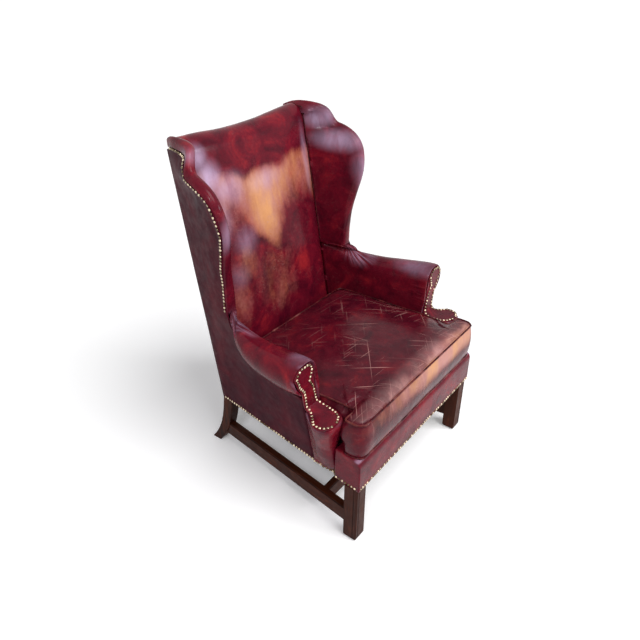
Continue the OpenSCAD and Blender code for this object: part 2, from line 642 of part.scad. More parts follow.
module wing_rail(side) color(beech) scale_side(side) from_front() {
  w = wing_rail_w / 2;
  d = wing_rail_d / 2;
  foot = wing_rail_at(0);
  turn = wing_rail_at(turn_station);
  bends = [for (b = back_bend_shares) on_lean(-back_t * b, back_len - crest_roll - wing_rail_d)];
  end = on_lean(post_front - gap, crest_low + d);
  loft(concat(
    [box_ring([foot[0], foot[1], arm_rail_z(foot[1] + d) + arm_rail_h / 2 + gap], w, d, [1, 0])],
    [for (i = wing_rail_stations) box_ring(wing_rail_at(i), w, d, wing_n(i))],
    [box_ring([turn[0] + wing_rail_w, turn[1], turn[2]], w, d, wing_n(turn_station)),
     box_ring([wing_in_x + 2 * w + gap, bends[0][0], bends[0][1]], w, d, lean_down),
     box_ring([wing_in_x, bends[1][0], bends[1][1]], w, d, lean_down),
     box_ring([post_x - w - wing_rail_end_in, end[0], end[1]], w, d, lean_down)]));
}

// Padded columns in front of the arms, with the lobe that ends the facing
column_rear_y = arm_front - gap;
column_z_shares = [0, 0.14, 0.33, 0.52, 0.76, 0.9, 0.96, 1];
column_in_shares = [0, 0, 0, 0, 0, 0, 0, 0.12];
column_out_shares = [0, 0.2, 0.42, 0.56, 0.86, 1.02, 1.08, 0.98];
column_lead_shares = [0.81, 0.81, 0.79, 0.8, 0.9, 0.98, 1, 0.92];
column_inset = 7;
column_in_x = arm_in_front + column_inset;
column_lap = 2;
column_swell = 14;
column_out = 30;
column_reach = 109;
column_steps = 12;
column_bow_share = 0.6;
column_tuck_power = 8;
function bow(c) = sign(c) * pow(abs(c), column_bow_share);
function panel_x(z) = lookup(z, [for (k = [0 : len(panel_low_shares) - 1])
  [panel_front[k][2], panel_front[k][0]]]);
// A point of a section: the outer side draws in to the panel behind it
function column_point(k, a) =
  let (low = column_in_x + column_in_shares[k] * column_out,
       z = lerp(leg_clear, lobe_z, column_z_shares[k]),
       rear = max(panel_x(z), side_x(column_rear_y) + leather_t) + column_lap,
       high = side_x(column_rear_y) + leather_t + column_lap
              + column_out_shares[k] * (roll_r + gap + column_swell),
       tuck = max(high - rear, 0) * max(bow(cos(a)), 0) * pow(1 - sin(a), column_tuck_power))
  [(low + high) / 2 + (high - low) / 2 * bow(cos(a)) - tuck,
   column_rear_y - column_lead_shares[k] * column_reach * bow(sin(a)), z];
module arm_column(side) color(leather) scale_side(side) from_front()
  difference() {
    loft([for (k = [0 : len(column_z_shares) - 1])
      [for (i = [column_steps : -1 : 0]) column_point(k, half_round * i / column_steps)]]);
    translate([0, 0, leg_clear - over]) linear_extrude(rail_h + over + cloth_t + 2 * gap) polygon([
      [0, 0], [rail_out(0) + gap, 0], [rail_out(seat_d) + gap, seat_d], [0, seat_d]]);
  }

// Nailed facings on the fronts of the arms, from the lobe up to the scroll
facing_t = 4.7;
facing_margin = nail_d / 2 + 1;
facing_rise_shares = [0.10, 0.33, 0.49, 0.64, 0.76, 0.82, 0.9, 1];
facing_x_shares = [-0.44, -0.32, -0.21, 0.09, 0.09, 0.11, 0.11, 0.07];
facing_w_shares = [0.39, 0.35, 0.34, 0.37, 0.46, 0.58, 0.56, 0.3];
lobe_y_shares = [0.89, 0.81, 0.65, 0.47, 0.28, 0.12];
lobe_x_shares = [-0.09, -0.11, -0.14, -0.21, -0.42, -0.54];
lobe_w_shares = [0.21, 0.53, 0.72, 0.74, 0.58, 0.42];
facing_cols = 6;
facing_top_share = 0.66;
facing_tilt_share = 0.5;
facing_top = roll_c(1)[1] + roll_r * facing_top_share;
// Rows of the facing: middle, half width and the direction that it faces
facing_rows = concat(
  [for (k = [0 : len(lobe_y_shares) - 1])
    [[roll_c(1)[0] + lobe_x_shares[k] * roll_r, column_rear_y - lobe_y_shares[k] * column_reach,
      lobe_z + gap + facing_t + (k == len(lobe_y_shares) - 1 ? facing_t : 0)],
     lobe_w_shares[k] * roll_r, [0, k == len(lobe_y_shares) - 1 ? -facing_tilt_share : 0, 1]]],
  [for (k = [0 : len(facing_rise_shares) - 1])
    [[roll_c(1)[0] + facing_x_shares[k] * roll_r, column_rear_y - facing_t,
      lerp(lobe_z, facing_top, facing_rise_shares[k])],
     facing_w_shares[k] * roll_r, [0, -1, k == 0 ? facing_tilt_share : 0]]]);
module arm_facing(side) color(leather) scale_side(side) from_front()
  skin([for (r = facing_rows) [for (j = [0 : facing_cols])
    r[0] + [(r[1] + facing_margin) * (1 - 2 * j / facing_cols), 0, 0]]], facing_t);

// Leather over the front of the seat frame, with a ledge behind the cushion's ears
border_lead = 4;
border_d = 89.5;
border_r = 22;
border_rise = 30;
border_inset = 1;
border_top = rail_top + border_rise;
border_x = front_hw - border_inset;
module front_border() color(leather) from_front() difference() {
  rear = border_d - border_lead;
  intersection() {
    translate([0, 0, leg_clear]) linear_extrude(border_top - leg_clear) polygon([
      [-border_x, -border_lead], [border_x, -border_lead],
      [side_x(rear) + border_t, rear], [-side_x(rear) - border_t, rear]]);
    translate([-front_w, 0, 0]) along_x(2 * front_w) {
      translate([border_r - border_lead, border_top - border_r]) circle(r = border_r, $fn = fine);
      polygon([[-border_lead, leg_clear - over], [rear, leg_clear - over], [rear, border_top],
        [border_r - border_lead, border_top], [border_r - border_lead, border_top - border_r],
        [-border_lead, border_top - border_r]]);
    }
  }
  for (s = [-1, 1])
    translate([0, 0, leg_clear - over]) linear_extrude(rail_h + over + cloth_t + 2 * gap) polygon([
      [0, border_t - gap], [s * (front_hw - border_t + gap), border_t - gap],
      [s * (front_hw - border_t + gap), front_leg_s + gap],
      [s * (rail_out(front_leg_s) + gap), front_leg_s + gap],
      [s * (rail_out(rear) + gap), rear + over], [0, rear + over]]);
}

// Stuffed seat under the cushion, on hessian, springs and webbing
module seat_deck() color(lining) from_front()
  translate([0, 0, stuff_low]) linear_extrude(deck_t) {
    front = border_d - border_lead + gap;
    rear = seam_y(stuff_low) - gap;
    ys = concat([front], [for (s = arm_y_shares) arm_y(s)], [rear]);
    polygon(concat([for (y = ys) [arm_in(y) - gap, y]],
      [for (k = [len(ys) - 1 : -1 : 0]) [gap - arm_in(ys[k]), ys[k]]]));
  }
hessian_y = 14;
module seat_hessian() color(jute) from_front() translate([0, 0, rail_top]) linear_extrude(cloth_t)
  polygon([for (c = [[1, hessian_y], [1, rear_front_y + rail_t / 2], [-1, rear_front_y + rail_t / 2],
                     [-1, hessian_y]])
    [c[0] * (rail_in(c[1]) + rail_t / 3), c[1]]]);
seat_webs = 4;
module seat_webbing() color(jute) from_front() {
  long_pitch = (rail_in(rear_front_y) * 2) / seat_webs;
  deep = rear_front_y - front_leg_s;
  for (k = [0 : seat_webs - 1])
    translate([(k + 1 / 2) * long_pitch - rail_in(rear_front_y) - web_w / 2, border_t, leg_clear - web_t])
      cube([web_w, rear_front_y - border_t, web_t]);
  for (k = [0 : seat_webs - 1]) {
    y = front_leg_s + (k + 1 / 2) * deep / seat_webs - web_w / 2;
    x = rail_in(y + web_w) + rail_t / 2;
    translate([-x, y, leg_clear - 2 * web_t - gap]) cube([2 * x, web_w, web_t]);
  }
}
module dust_cover() color(black_cloth) from_front()
  translate([0, 0, leg_clear - 2 * web_t - 2 * gap - cloth_t]) linear_extrude(cloth_t) {
    x = front_hw - front_leg_s - gap;
    polygon([[-x, border_t], [x, border_t], [x, front_leg_s + gap],
      [rail_out(front_leg_s) - border_t, front_leg_s + gap],
      [rail_out(rear_front_y) - border_t, rear_front_y - gap],
      [border_t - rail_out(rear_front_y), rear_front_y - gap],
      [border_t - rail_out(front_leg_s), front_leg_s + gap], [-x, front_leg_s + gap]]);
  }
spring_r = 38;
spring_waist_share = 0.55;
spring_turns = 4;
spring_wire_r = 1.9;
spring_steps = 32;
spring_sides = 5;
springs_across = 3;
module seat_springs() color(steel) from_front() {
  low = leg_clear + gap + spring_wire_r;
  high = rail_top - gap - spring_wire_r;
  pitch_x = 2 * rail_in(rear_front_y) / springs_across;
  pitch_y = (rear_front_y - front_leg_s) / springs_across;
  for (i = [-1, 0, 1]) for (j = [0 : springs_across - 1])
    translate([i * pitch_x, front_leg_s + (j + 1 / 2) * pitch_y, 0])
      tube([for (k = [0 : spring_steps])
        let (t = k / spring_steps, a = full_round * spring_turns * t,
             r = spring_r * lerp(spring_waist_share, 1, abs(2 * t - 1)))
        [r * cos(a), r * sin(a), lerp(low, high, t)]], spring_wire_r, spring_sides, [0, 0, 1]);
}
spring_gap = (rail_h - 2 * gap - 2 * spring_wire_r) / spring_turns - 2 * spring_wire_r;
echo(least_gap_between_spring_turns = spring_gap);

// Welts between the inside back and the wings
welt_r = welt_d / 2;
welt_sides = 6;
welt_stations = 12;
module back_welt(side) color(welt_red) scale_side(side) on_back() {
  low = lean_at(-back_t, wing_z(wing_seam_shares[0]));
  high = back_len - crest_roll;
  x = back_hw - welt_r - 2 * gap;
  tube([for (k = [0 : welt_stations])
    let (l = lerp(low, high, k / welt_stations), u = (x - welt_r) / back_hw)
    [x, -back_t - welt_r - gap - crown_at(u, (l - lean_at(-back_t, stuff_low))
      / (high - lean_at(-back_t, stuff_low))), l]], welt_r, welt_sides, [1, 0, 0]);
}

// The cushion: a T in plan, with crowned top, drawn-in boxing and welts
cushion_side = 6;
ear_gap = 0.5;
cushion_rear = 18;
cushion_bulge = 8;
ear_bulge_share = 1.6;
core_gap = 1.3;
side_bulge = 3;
cushion_low = deck_z + gap + welt_r;
cushion_high = cushion_low + cushion_t;
panel_t = 3;
corner_r = 26;
notch_r = 8;
ear_x = front_hw - ear_gap - cushion_bulge;
cushion_front = cushion_bulge + panel_t / 2 - front_lead;
ear_rear = ear_d - border_lead;
cushion_rear_y = seam_y(cushion_low) - back_crown - cushion_rear;
corner_steps = 3;
function arc(c, r, a, b) =
  [for (k = [0 : corner_steps]) let (t = lerp(a, b, k / corner_steps)) c + r * [cos(t), sin(t)]];
side_shares = [0.1, 0.25, 0.45, 0.65, 0.84];
function cushion_x(y) = arm_in(y) - cushion_side;
half_plan = concat(
  [[ear_x / 3, cushion_front], [ear_x * 2 / 3, cushion_front]],
  arc([ear_x - corner_r, cushion_front + corner_r], corner_r, -quarter_round, 0),
  arc([ear_x - notch_r, ear_rear - notch_r], notch_r, 0, quarter_round),
  [[cushion_x(0) + notch_r, ear_rear + gap], [cushion_x(0), ear_rear + notch_r]],
  [for (s = side_shares) let (y = lerp(ear_rear, cushion_rear_y, s)) [cushion_x(y), y]],
  arc([cushion_x(cushion_rear_y) - corner_r, cushion_rear_y - corner_r], corner_r, 0, quarter_round),
  [[cushion_x(cushion_rear_y) / 3, cushion_rear_y]]);
plan = concat(half_plan, [for (k = [len(half_plan) - 1 : -1 : 0]) [-half_plan[k][0], half_plan[k][1]]]);
plan_n = len(plan);
function plan_normal(i) =
  let (t = unit(plan[(i + 1) % plan_n] - plan[(i + plan_n - 1) % plan_n])) [t[1], -t[0]];
// The plan moved outwards by d, plus the bulge of the boxing at share t of its height
function bulge_at(i, t) = 4 * t * (1 - t) * lerp(side_bulge, cushion_bulge,
  smoothstep(ear_bulge_share * (ear_rear - plan[i][1]) / (ear_rear - cushion_front)));
function plan_ring(d, z, t) =
  [for (i = [0 : plan_n - 1]) let (p = plan[i] + (d + bulge_at(i, t)) * plan_normal(i)) [p[0], p[1], z]];
// The plan drawn in towards the middle of the cushion, with the crown on it
ring_shares = [1, 0.95, 0.86, 0.68, 0.42, 0.15];
spine_x_share = 0.3;
spine_y_share = 0.35;
crown_mid_y = (cushion_front + cushion_rear_y) / 2;
function crown_ring(s, inset, z, high) = [for (i = [0 : plan_n - 1])
  let (q = plan[i] - inset * plan_normal(i),
       m = [q[0] * spine_x_share, lerp(ear_rear - notch_r, q[1], spine_y_share)],
       p = m + (q - m) * s,
       v = (p[1] - crown_mid_y) / (cushion_rear_y - cushion_front), u = p[0] / ear_x)
  [p[0], p[1], z + high * (1 - s * s * s) * (1 - v * v) * (1 - u * u / 2)]];
boxing_shares = [0, 0.2, 0.5, 0.8, 1];
boxing_low = cushion_low + welt_r + gap;
boxing_high = cushion_high - welt_r - gap;
module cushion_core() color(lining) from_front()
  loft(concat(
    [plan_ring(-welt_r - core_gap, cushion_low + gap, 0)],
    [for (t = boxing_shares)
      plan_ring(-panel_t / 2 - core_gap, lerp(boxing_low, boxing_high, t), t)],
    [for (s = ring_shares)
      crown_ring(s, welt_r + core_gap, cushion_high - panel_t / 2 - core_gap, cushion_crown)]));
module cushion_top() color(leather_worn) from_front() {
  rings = [for (s = ring_shares) crown_ring(s, welt_r + gap, cushion_high + panel_t / 2, cushion_crown)];
  down = [0, 0, -panel_t];
  loft(concat([for (k = [len(rings) - 1 : -1 : 0]) [for (p = rings[k]) p + down]], rings));
}
module cushion_boxing() color(leather_worn) from_front() {
  outer = [for (t = boxing_shares) plan_ring(panel_t / 2, lerp(boxing_low, boxing_high, t), t)];
  inner = [for (t = boxing_shares) plan_ring(-panel_t / 2, lerp(boxing_low, boxing_high, t), t)];
  band(outer, inner);
}
module cushion_bottom() color(lining) from_front() {
  ring = plan_ring(-welt_r - gap, deck_z + gap, 0);
  loft([ring, [for (p = ring) p + [0, 0, panel_t]]]);
}
module cushion_welt(z) color(welt_red) from_front()
  ring_tube(plan_ring(0, z, 0), welt_r, welt_sides, [0, 0, 1]);
// A closed band between two stacks of rings
module band(outer, inner) {
  n = len(outer);
  m = len(outer[0]);
  stack = concat(outer, [for (k = [n - 1 : -1 : 0]) inner[k]]);
  c = 2 * n;
  polyhedron(points = [for (r = stack) for (p = r) p],
    faces = [for (i = [0 : c - 1]) for (j = [0 : m - 1]) for (q = quad(
      i * m + j, ((i + 1) % c) * m + j, ((i + 1) % c) * m + (j + 1) % m, i * m + (j + 1) % m)) q]);
}
zip_end = 25.5;
zip_l = 2 * (cushion_x(cushion_rear_y) - corner_r - zip_end);
zip_w = 22;
zip_t = 1.2;
slider_w = 11;
slider_h = 16;
slider_t = 2.5;
zip_y = cushion_rear_y + side_bulge + panel_t / 2 + gap;
zip_z = (cushion_low + cushion_high) / 2;
module cushion_zip() color(brass) from_front()
  translate([-zip_l / 2, zip_y, zip_z - zip_w / 2]) cube([zip_l, zip_t, zip_w]);
module zip_slider() color(brass) from_front()
  translate([-zip_l / 2, zip_y + zip_t + gap, zip_z - slider_h / 2]) difference() {
    cube([slider_w, slider_t, slider_h]);
    translate([slider_w / 2, -over, slider_w / 2]) rotate([-quarter_round, 0, 0])
      cylinder(h = slider_t + 2 * over, r = slider_w / 4, $fn = fine);
  }

// Dome-headed nails in rows, each with its shank
nail_shank = 12;
nail_shank_r = 0.7;
nail_h = 2.6;
nail_dome_shares = [[1, 0], [0.94, 0.42], [0.6, 0.83], [0.2, 1], [0, 1]];
module nail() rotate_extrude($fn = fine) polygon(concat(
  [[0, -nail_shank], [nail_shank_r, -nail_shank], [nail_shank_r, 0]],
  [for (s = nail_dome_shares) [s[0] * nail_d / 2, s[1] * nail_h]]));
// Nails at even spacing along a path of [point, direction] pairs
function run_length(p, i) = i == 0 ? 0 : run_length(p, i - 1) + norm(p[i][0] - p[i - 1][0]);
module nail_row(p) {
  runs = [for (i = [0 : len(p) - 1]) run_length(p, i)];
  total = runs[len(p) - 1];
  count = floor(total / nail_pitch);
  for (k = [0 : count]) {
    at = total * k / count;
    c = [for (a = [0 : 2]) lookup(at, [for (i = [0 : len(p) - 1]) [runs[i], p[i][0][a]]])];
    d = unit([for (a = [0 : 2]) lookup(at, [for (i = [0 : len(p) - 1]) [runs[i], p[i][1][a]]])]);
    translate(c + gap / 3 * d) rotate([0, acos(d[2]), atan2(d[1], d[0])]) nail();
  }
}
nail_rise = 6;
nail_z = leg_clear + nail_rise;
nail_in = 7;
module nails_front() color(brass) from_front()
  nail_row([for (s = [-1, 1]) [[s * (border_x - nail_in), -border_lead, nail_z], [0, -1, 0]]]);
module nails_rear() color(brass) from_front()
  nail_row([for (s = [-1, 1])
    [[s * (post_x - nail_in), back_y(nail_z), nail_z], [0, cos(back_rake), -sin(back_rake)]]]);
// Bottom row of a side, over the border, the column and the panel
border_rear = border_d - border_lead;
column_nail_angles = [40, 22, 5];
panel_nail_shares = [0.03, 0.5, 0.97];
border_turn_share = 0.1;
panel_turn_share = 0.18;
side_bottom = concat(
  [for (y = [2 * nail_in - border_lead, border_rear - nail_in])
    [[lerp(border_x, side_x(border_rear) + border_t, (y + border_lead) / border_d), y, nail_z],
     [1, border_turn_share, 0]]],
  [for (a = column_nail_angles)
    let (p = column_point(0, a)) [[p[0], p[1], nail_z], [1, 0, 0]]],
  [for (s = panel_nail_shares)
    let (f = panel_edges[0][0], g = panel_edges[1][0], r = panel_edges[0][1],
         t = (nail_z - f[2]) / (g[2] - f[2]), p = lerp(lerp(f, g, t), r, s))
    [[p[0], p[1], nail_z], [1, panel_turn_share, 0]]]);
wing_nail_in = 5;
module nails_side(side) color(brass) scale_side(side) from_front() {
  nail_row(side_bottom);
  nail_row([for (i = [0 : len(panel_wing_shares) - 1])
    let (k = len(panel_front) + i, e = panel_edges[k], d = unit(e[1] - e[0]))
    [e[0] + wing_nail_in * d,
     unit(cross(panel_edges[min(k + 1, len(panel_edges) - 1)][0] - panel_edges[k - 1][0], -d))]]);
}
function facing_edge(r, s) = [r[0] + [s * r[1], 0, 0], unit(r[2])];
module nails_facing(side) color(brass) scale_side(side) from_front() {
  n = len(facing_rows) - 1;
  nail_row(concat([for (k = [0 : n]) facing_edge(facing_rows[k], 1)],
    [for (k = [n : -1 : 0]) facing_edge(facing_rows[k], -1)]));
}

front_leg(1);  // front_leg_left
front_leg(-1);  // front_leg_right
rear_leg(1);  // rear_leg_left
rear_leg(-1);  // rear_leg_right
side_stretcher(1);  // side_stretcher_left
side_stretcher(-1);  // side_stretcher_right
cross_stretcher();
front_rail();
rear_rail();
side_rail(1);  // side_rail_left
side_rail(-1);  // side_rail_right
corner_blocks();
back_post(1);  // back_post_left
back_post(-1);  // back_post_right
crest_rail();
lower_back_rail();
wing_rail(1);  // wing_rail_left
wing_rail(-1);  // wing_rail_right
arm_rail(1);  // arm_rail_left
arm_rail(-1);  // arm_rail_right
arm_post(1);  // arm_post_left
arm_post(-1);  // arm_post_right
seat_webbing();
seat_springs();
seat_hessian();
back_webbing();
dust_cover();
seat_deck();
front_border();
inside_back();
outside_back();
inside_wing(1);  // inside_wing_left
inside_wing(-1);  // inside_wing_right
outside_panel(1);  // outside_panel_left
outside_panel(-1);  // outside_panel_right
arm_pad(1);  // arm_pad_left
arm_pad(-1);  // arm_pad_right
arm_column(1);  // arm_column_left
arm_column(-1);  // arm_column_right
arm_facing(1);  // arm_facing_left
arm_facing(-1);  // arm_facing_right
back_welt(1);  // back_welt_left
back_welt(-1);  // back_welt_right
nails_front();
nails_rear();
nails_side(1);  // nails_left
nails_side(-1);  // nails_right
nails_facing(1);  // nails_facing_left
nails_facing(-1);  // nails_facing_right
cushion_core();
cushion_top();
cushion_boxing();
cushion_bottom();
cushion_welt(cushion_high);  // cushion_welt_top
cushion_welt(cushion_low);  // cushion_welt_bottom
cushion_zip();
zip_slider();
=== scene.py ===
# %% [markdown]
# # A leather wing chair
# The frame holds every piece of the chair at its true size. This script gives the pieces
# their looks: soft stuffed leather, brass nails, polished mahogany and a loose cushion.
# Lengths are in metres, +Z is up, -Y is the front and +X is the sitter's left.

# %% Start: load the frame and keep its size
import math

import bmesh
import bpy
import numpy as np
from mathutils import Matrix, Vector
from mathutils.bvhtree import BVHTree
from mathutils.kdtree import KDTree


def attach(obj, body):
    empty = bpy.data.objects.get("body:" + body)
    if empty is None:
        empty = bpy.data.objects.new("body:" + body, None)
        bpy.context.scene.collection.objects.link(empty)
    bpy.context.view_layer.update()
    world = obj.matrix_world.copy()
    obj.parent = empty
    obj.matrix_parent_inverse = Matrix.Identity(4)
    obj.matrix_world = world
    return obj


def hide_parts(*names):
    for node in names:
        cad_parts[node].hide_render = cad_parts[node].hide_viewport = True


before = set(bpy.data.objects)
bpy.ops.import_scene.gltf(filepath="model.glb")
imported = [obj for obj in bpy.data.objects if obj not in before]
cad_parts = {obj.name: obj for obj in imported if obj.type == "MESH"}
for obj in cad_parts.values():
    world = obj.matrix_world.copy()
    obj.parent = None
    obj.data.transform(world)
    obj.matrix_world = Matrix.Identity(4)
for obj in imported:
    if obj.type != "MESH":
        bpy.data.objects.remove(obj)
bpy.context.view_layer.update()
scene = bpy.context.scene

# %% [markdown]
# ## Tools for meshes
# A CAD mesh arrives with split corners and long triangles. A copy of it is welded and its
# triangles are paired into quads, so that subdivision gives the even curves of stuffed
# leather. Sharp borders keep a crease, so that neighbouring pieces still meet.

# %% Copy, weld and smooth
MM = 0.001


def welded(node):
    """A BMesh of a CAD node with its corners merged."""
    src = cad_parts[node].data
    bm = bmesh.new()
    verts = [bm.verts.new(v.co) for v in src.vertices]
    for p in src.polygons:
        bm.faces.new([verts[i] for i in p.vertices])
    bmesh.ops.remove_doubles(bm, verts=bm.verts, dist=0.02 * MM)
    bmesh.ops.dissolve_degenerate(bm, dist=0.01 * MM, edges=bm.edges)
    bmesh.ops.recalc_face_normals(bm, faces=bm.faces)
    return bm


def finish_mesh(bm, name, smooth=True):
    """Turns a BMesh into an object at the origin."""
    mesh = bpy.data.meshes.new(name)
    bm.to_mesh(mesh)
    bm.free()
    for p in mesh.polygons:
        p.use_smooth = smooth
    obj = bpy.data.objects.new(name, mesh)
    scene.collection.objects.link(obj)
    return obj


def applied(obj):
    """The object with its modifiers turned into mesh."""
    bpy.context.view_layer.update()
    graph = bpy.context.evaluated_depsgraph_get()
    mesh = bpy.data.meshes.new_from_object(obj.evaluated_get(graph))
    old = obj.data
    obj.modifiers.clear()
    obj.data = mesh
    bpy.data.meshes.remove(old)
    return obj


def subdivided(obj, levels):
    """Catmull-Clark subdivision, applied."""
    sub = obj.modifiers.new("subdivision", "SUBSURF")
    sub.levels = sub.render_levels = levels
    return applied(obj)


def quad_copy(node, name, levels, sharp=52, cuts=(), soft=None):
    """A subdivided copy of a CAD node. cuts are (normal, spacing) pairs that slice flat faces.
    Edges with both ends in the region soft(point) get no crease."""
    bm = welded(node)
    for normal, step in cuts:
        n = Vector(normal).normalized()
        reach = [v.co.dot(n) for v in bm.verts]
        low, high = min(reach), max(reach)
        count = int((high - low) / step)
        for k in range(1, count + 1):
            at = low + (high - low) * k / (count + 1)
            geom = bm.verts[:] + bm.edges[:] + bm.faces[:]
            bmesh.ops.bisect_plane(bm, geom=geom, dist=1e-6, plane_co=n * at, plane_no=n)
    bmesh.ops.join_triangles(
        bm, faces=bm.faces, angle_face_threshold=math.radians(48), angle_shape_threshold=math.radians(60))
    crease = bm.edges.layers.float.new("crease_edge")
    for e in bm.edges:
        if len(e.link_faces) == 2 and e.calc_face_angle(0) > math.radians(sharp):
            if not (soft and soft(e.verts[0].co) and soft(e.verts[1].co)):
                e[crease] = 1
    return subdivided(finish_mesh(bm, name), levels)


def voxel_copy(nodes, name, size, rounds, grow_mm=0):
    """An even quad skin around one or more CAD nodes, smoothed. It is grown where walls are thin."""
    bm = bmesh.new()
    for node in [nodes] if isinstance(nodes, str) else nodes:
        part = welded(node)
        whole = bpy.data.meshes.new("part")
        part.to_mesh(whole)
        bm.from_mesh(whole)
        bpy.data.meshes.remove(whole)
        part.free()
    obj = finish_mesh(bm, name)
    if grow_mm:
        co = np.array([v.co + v.normal * grow_mm * MM for v in obj.data.vertices])
        obj.data.vertices.foreach_set("co", co.ravel())
    remesh = obj.modifiers.new("even skin", "REMESH")
    remesh.mode = "VOXEL"
    remesh.voxel_size = size
    remesh.use_smooth_shade = True
    smooth = obj.modifiers.new("relaxed", "SMOOTH")
    smooth.factor = 0.5
    smooth.iterations = rounds
    return applied(obj)


def relaxed(obj, weights, rounds):
    """Smooths an object where the weights are above 0."""
    group = obj.vertex_groups.new(name="relax")
    for level in range(1, 11):
        picked = np.nonzero(np.ceil(weights * 10) == level)[0]
        if len(picked):
            group.add([int(i) for i in picked], level / 10, "REPLACE")
    mod = obj.modifiers.new("relax", "SMOOTH")
    mod.vertex_group = "relax"
    mod.factor = 0.5
    mod.iterations = rounds
    return applied(obj)


print("mesh tools ready")

# %% [markdown]
# ## Noise and folds
# Leather pulled over stuffing is never even. The same smooth noise moves the surface and
# spreads the wear, so that both look like parts of one hide.

# %% Noise, points and displacement
def coords(obj):
    """The places of an object's vertices, one per row."""
    co = np.empty(len(obj.data.vertices) * 3)
    obj.data.vertices.foreach_get("co", co)
    return co.reshape(-1, 3)


def normals(obj):
    """The directions in which an object's vertices face."""
    no = np.empty(len(obj.data.vertices) * 3)
    obj.data.vertices.foreach_get("normal", no)
    return no.reshape(-1, 3)


def set_coords(obj, co):
    """Moves the vertices of an object."""
    obj.data.vertices.foreach_set("co", co.ravel())
    obj.data.update()


def hide_noise(points, size_mm, seed=0):
    """Smooth noise from -1 to 1 with bumps about size_mm across."""
    q = np.asarray(points) * (1000 / size_mm) + seed * 17.31
    cell = np.floor(q).astype(np.int64)
    f = q - cell
    f = f * f * (3 - 2 * f)
    total = np.zeros(len(q))
    for corner in range(8):
        o = np.array([corner & 1, corner >> 1 & 1, corner >> 2 & 1])
        k = cell + o
        h = (k[:, 0] * 73856093) ^ (k[:, 1] * 19349663) ^ (k[:, 2] * 83492791)
        h = (h * 2654435761) & 0xFFFFFFFF
        h ^= h >> 15
        h = (h * 2246822519) & 0xFFFFFFFF
        total += np.prod(np.where(o, f, 1 - f), axis=1) * ((h & 0xFFFF) / 32767.5 - 1)
    return total


def falloff(t):
    """1 at 0, smoothly down to 0 at 1 and beyond."""
    t = np.clip(t, 0, 1)
    return 1 - t * t * (3 - 2 * t)


def rise(low, high, v):
    """0 below low, smoothly up to 1 above high."""
    t = np.clip((v - low) / (high - low), 0, 1)
    return t * t * (3 - 2 * t)


def blob(points, centre, radii):
    """1 in the middle of an ellipsoid and 0 at its edge."""
    d = (points - np.array(centre)) / np.array(radii)
    return falloff(np.sqrt((d * d).sum(1)))


def set_attribute(obj, name, values):
    """Paints one number on each vertex, for the materials to read."""
    a = obj.data.attributes.get(name) or obj.data.attributes.new(name, "FLOAT", "POINT")
    a.data.foreach_set("value", np.asarray(values, np.float32))


def skin(*objects):
    """A search tree over the faces of objects, to find the nearest spot or what a ray hits."""
    verts, faces, base = [], [], 0
    for obj in objects:
        verts.extend(map(tuple, coords(obj)))
        faces.extend([i + base for i in p.vertices] for p in obj.data.polygons)
        base = len(verts)
    return BVHTree.FromPolygons(verts, faces)


print("noise and painting tools ready")

# %% [markdown]
# ## Tools for materials
# A material is a tree of nodes. One small function adds a node, fills its inputs with values
# or links and hands on an output, so a tree reads from top to bottom. Colours are written as
# sRGB hex codes and turned into linear values once. Patterns are sized in millimetres.

# %% Colour and node helpers
SMOOTH = {"interpolation_type": "SMOOTHSTEP"}  # for Map Range: an S-curve with no kinks


def rgb(code):
    """A linear colour from an sRGB hex code."""
    v = [int(code[i:i + 2], 16) / 255 for i in (1, 3, 5)]
    return [c / 12.92 if c <= 0.04045 else ((c + 0.055) / 1.055) ** 2.4 for c in v] + [1]


def add(tree, kind, inputs=(), out=0, **settings):
    """A node with its settings. inputs are values or links, in order or by name.
    out picks the output that is handed on, and None gives them all."""
    node = tree.nodes.new("ShaderNode" + kind)
    for key, value in settings.items():
        setattr(node, key, value)
    for key, value in inputs.items() if isinstance(inputs, dict) else enumerate(inputs):
        if isinstance(value, bpy.types.NodeSocket):
            tree.links.new(value, node.inputs[key])
        else:
            node.inputs[key].default_value = value
    return node.outputs if out is None else node.outputs[out]


def new_material(name):
    """An empty material, its tree and the Object coordinates of the piece."""
    material = bpy.data.materials.new(name)
    material.use_nodes = True
    tree = material.node_tree
    tree.nodes.clear()
    return material, tree, add(tree, "TexCoord", out="Object")


def surface(tree, **values):
    """A Principled shader on the material's output."""
    shader = add(tree, "BsdfPrincipled", {k.replace("_", " "): v for k, v in values.items()})
    add(tree, "OutputMaterial", {"Surface": shader}, out=None)


def noise(tree, where, size_mm, detail=3.0, roughness=0.55, distortion=0.0, stretch=(1, 1, 1)):
    """Clouds about size_mm across, drawn out along the axes where stretch is below 1."""
    spot = add(tree, "Mapping", {"Vector": where, "Scale": stretch})
    return add(tree, "TexNoise", {"Vector": spot, "Scale": 1000 / size_mm, "Detail": detail,
                                  "Roughness": roughness, "Distortion": distortion})


def layered(tree, colour, *layers):
    """Colours laid over a first one. A layer is (how much of it, its colour)."""
    for amount, over in layers:
        colour = add(tree, "Mix", {0: amount, 6: colour, 7: over}, out=2, data_type="RGBA")
    return colour


def relief(tree, *layers):
    """Bumps on top of each other. A layer is (height, depth in mm, strength)."""
    inputs = {}
    for height, depth_mm, strength in layers:
        inputs.update({"Height": height, "Distance": depth_mm * MM, "Strength": strength})
        inputs["Normal"] = add(tree, "Bump", inputs)
    return inputs["Normal"]


print("material tools ready")

# %% [markdown]
# ## Creases, cracks and scratches
# Leather keeps the marks of its use. Pleats fan out where wing, arm and side meet, hairline
# cracks run through the worn dye, and buckles and keys have scratched the cushion. Each mark
# could be painted by hand. Noise that is stretched or read along its isolines gives such
# lines everywhere at once, and painted attributes say where they show.

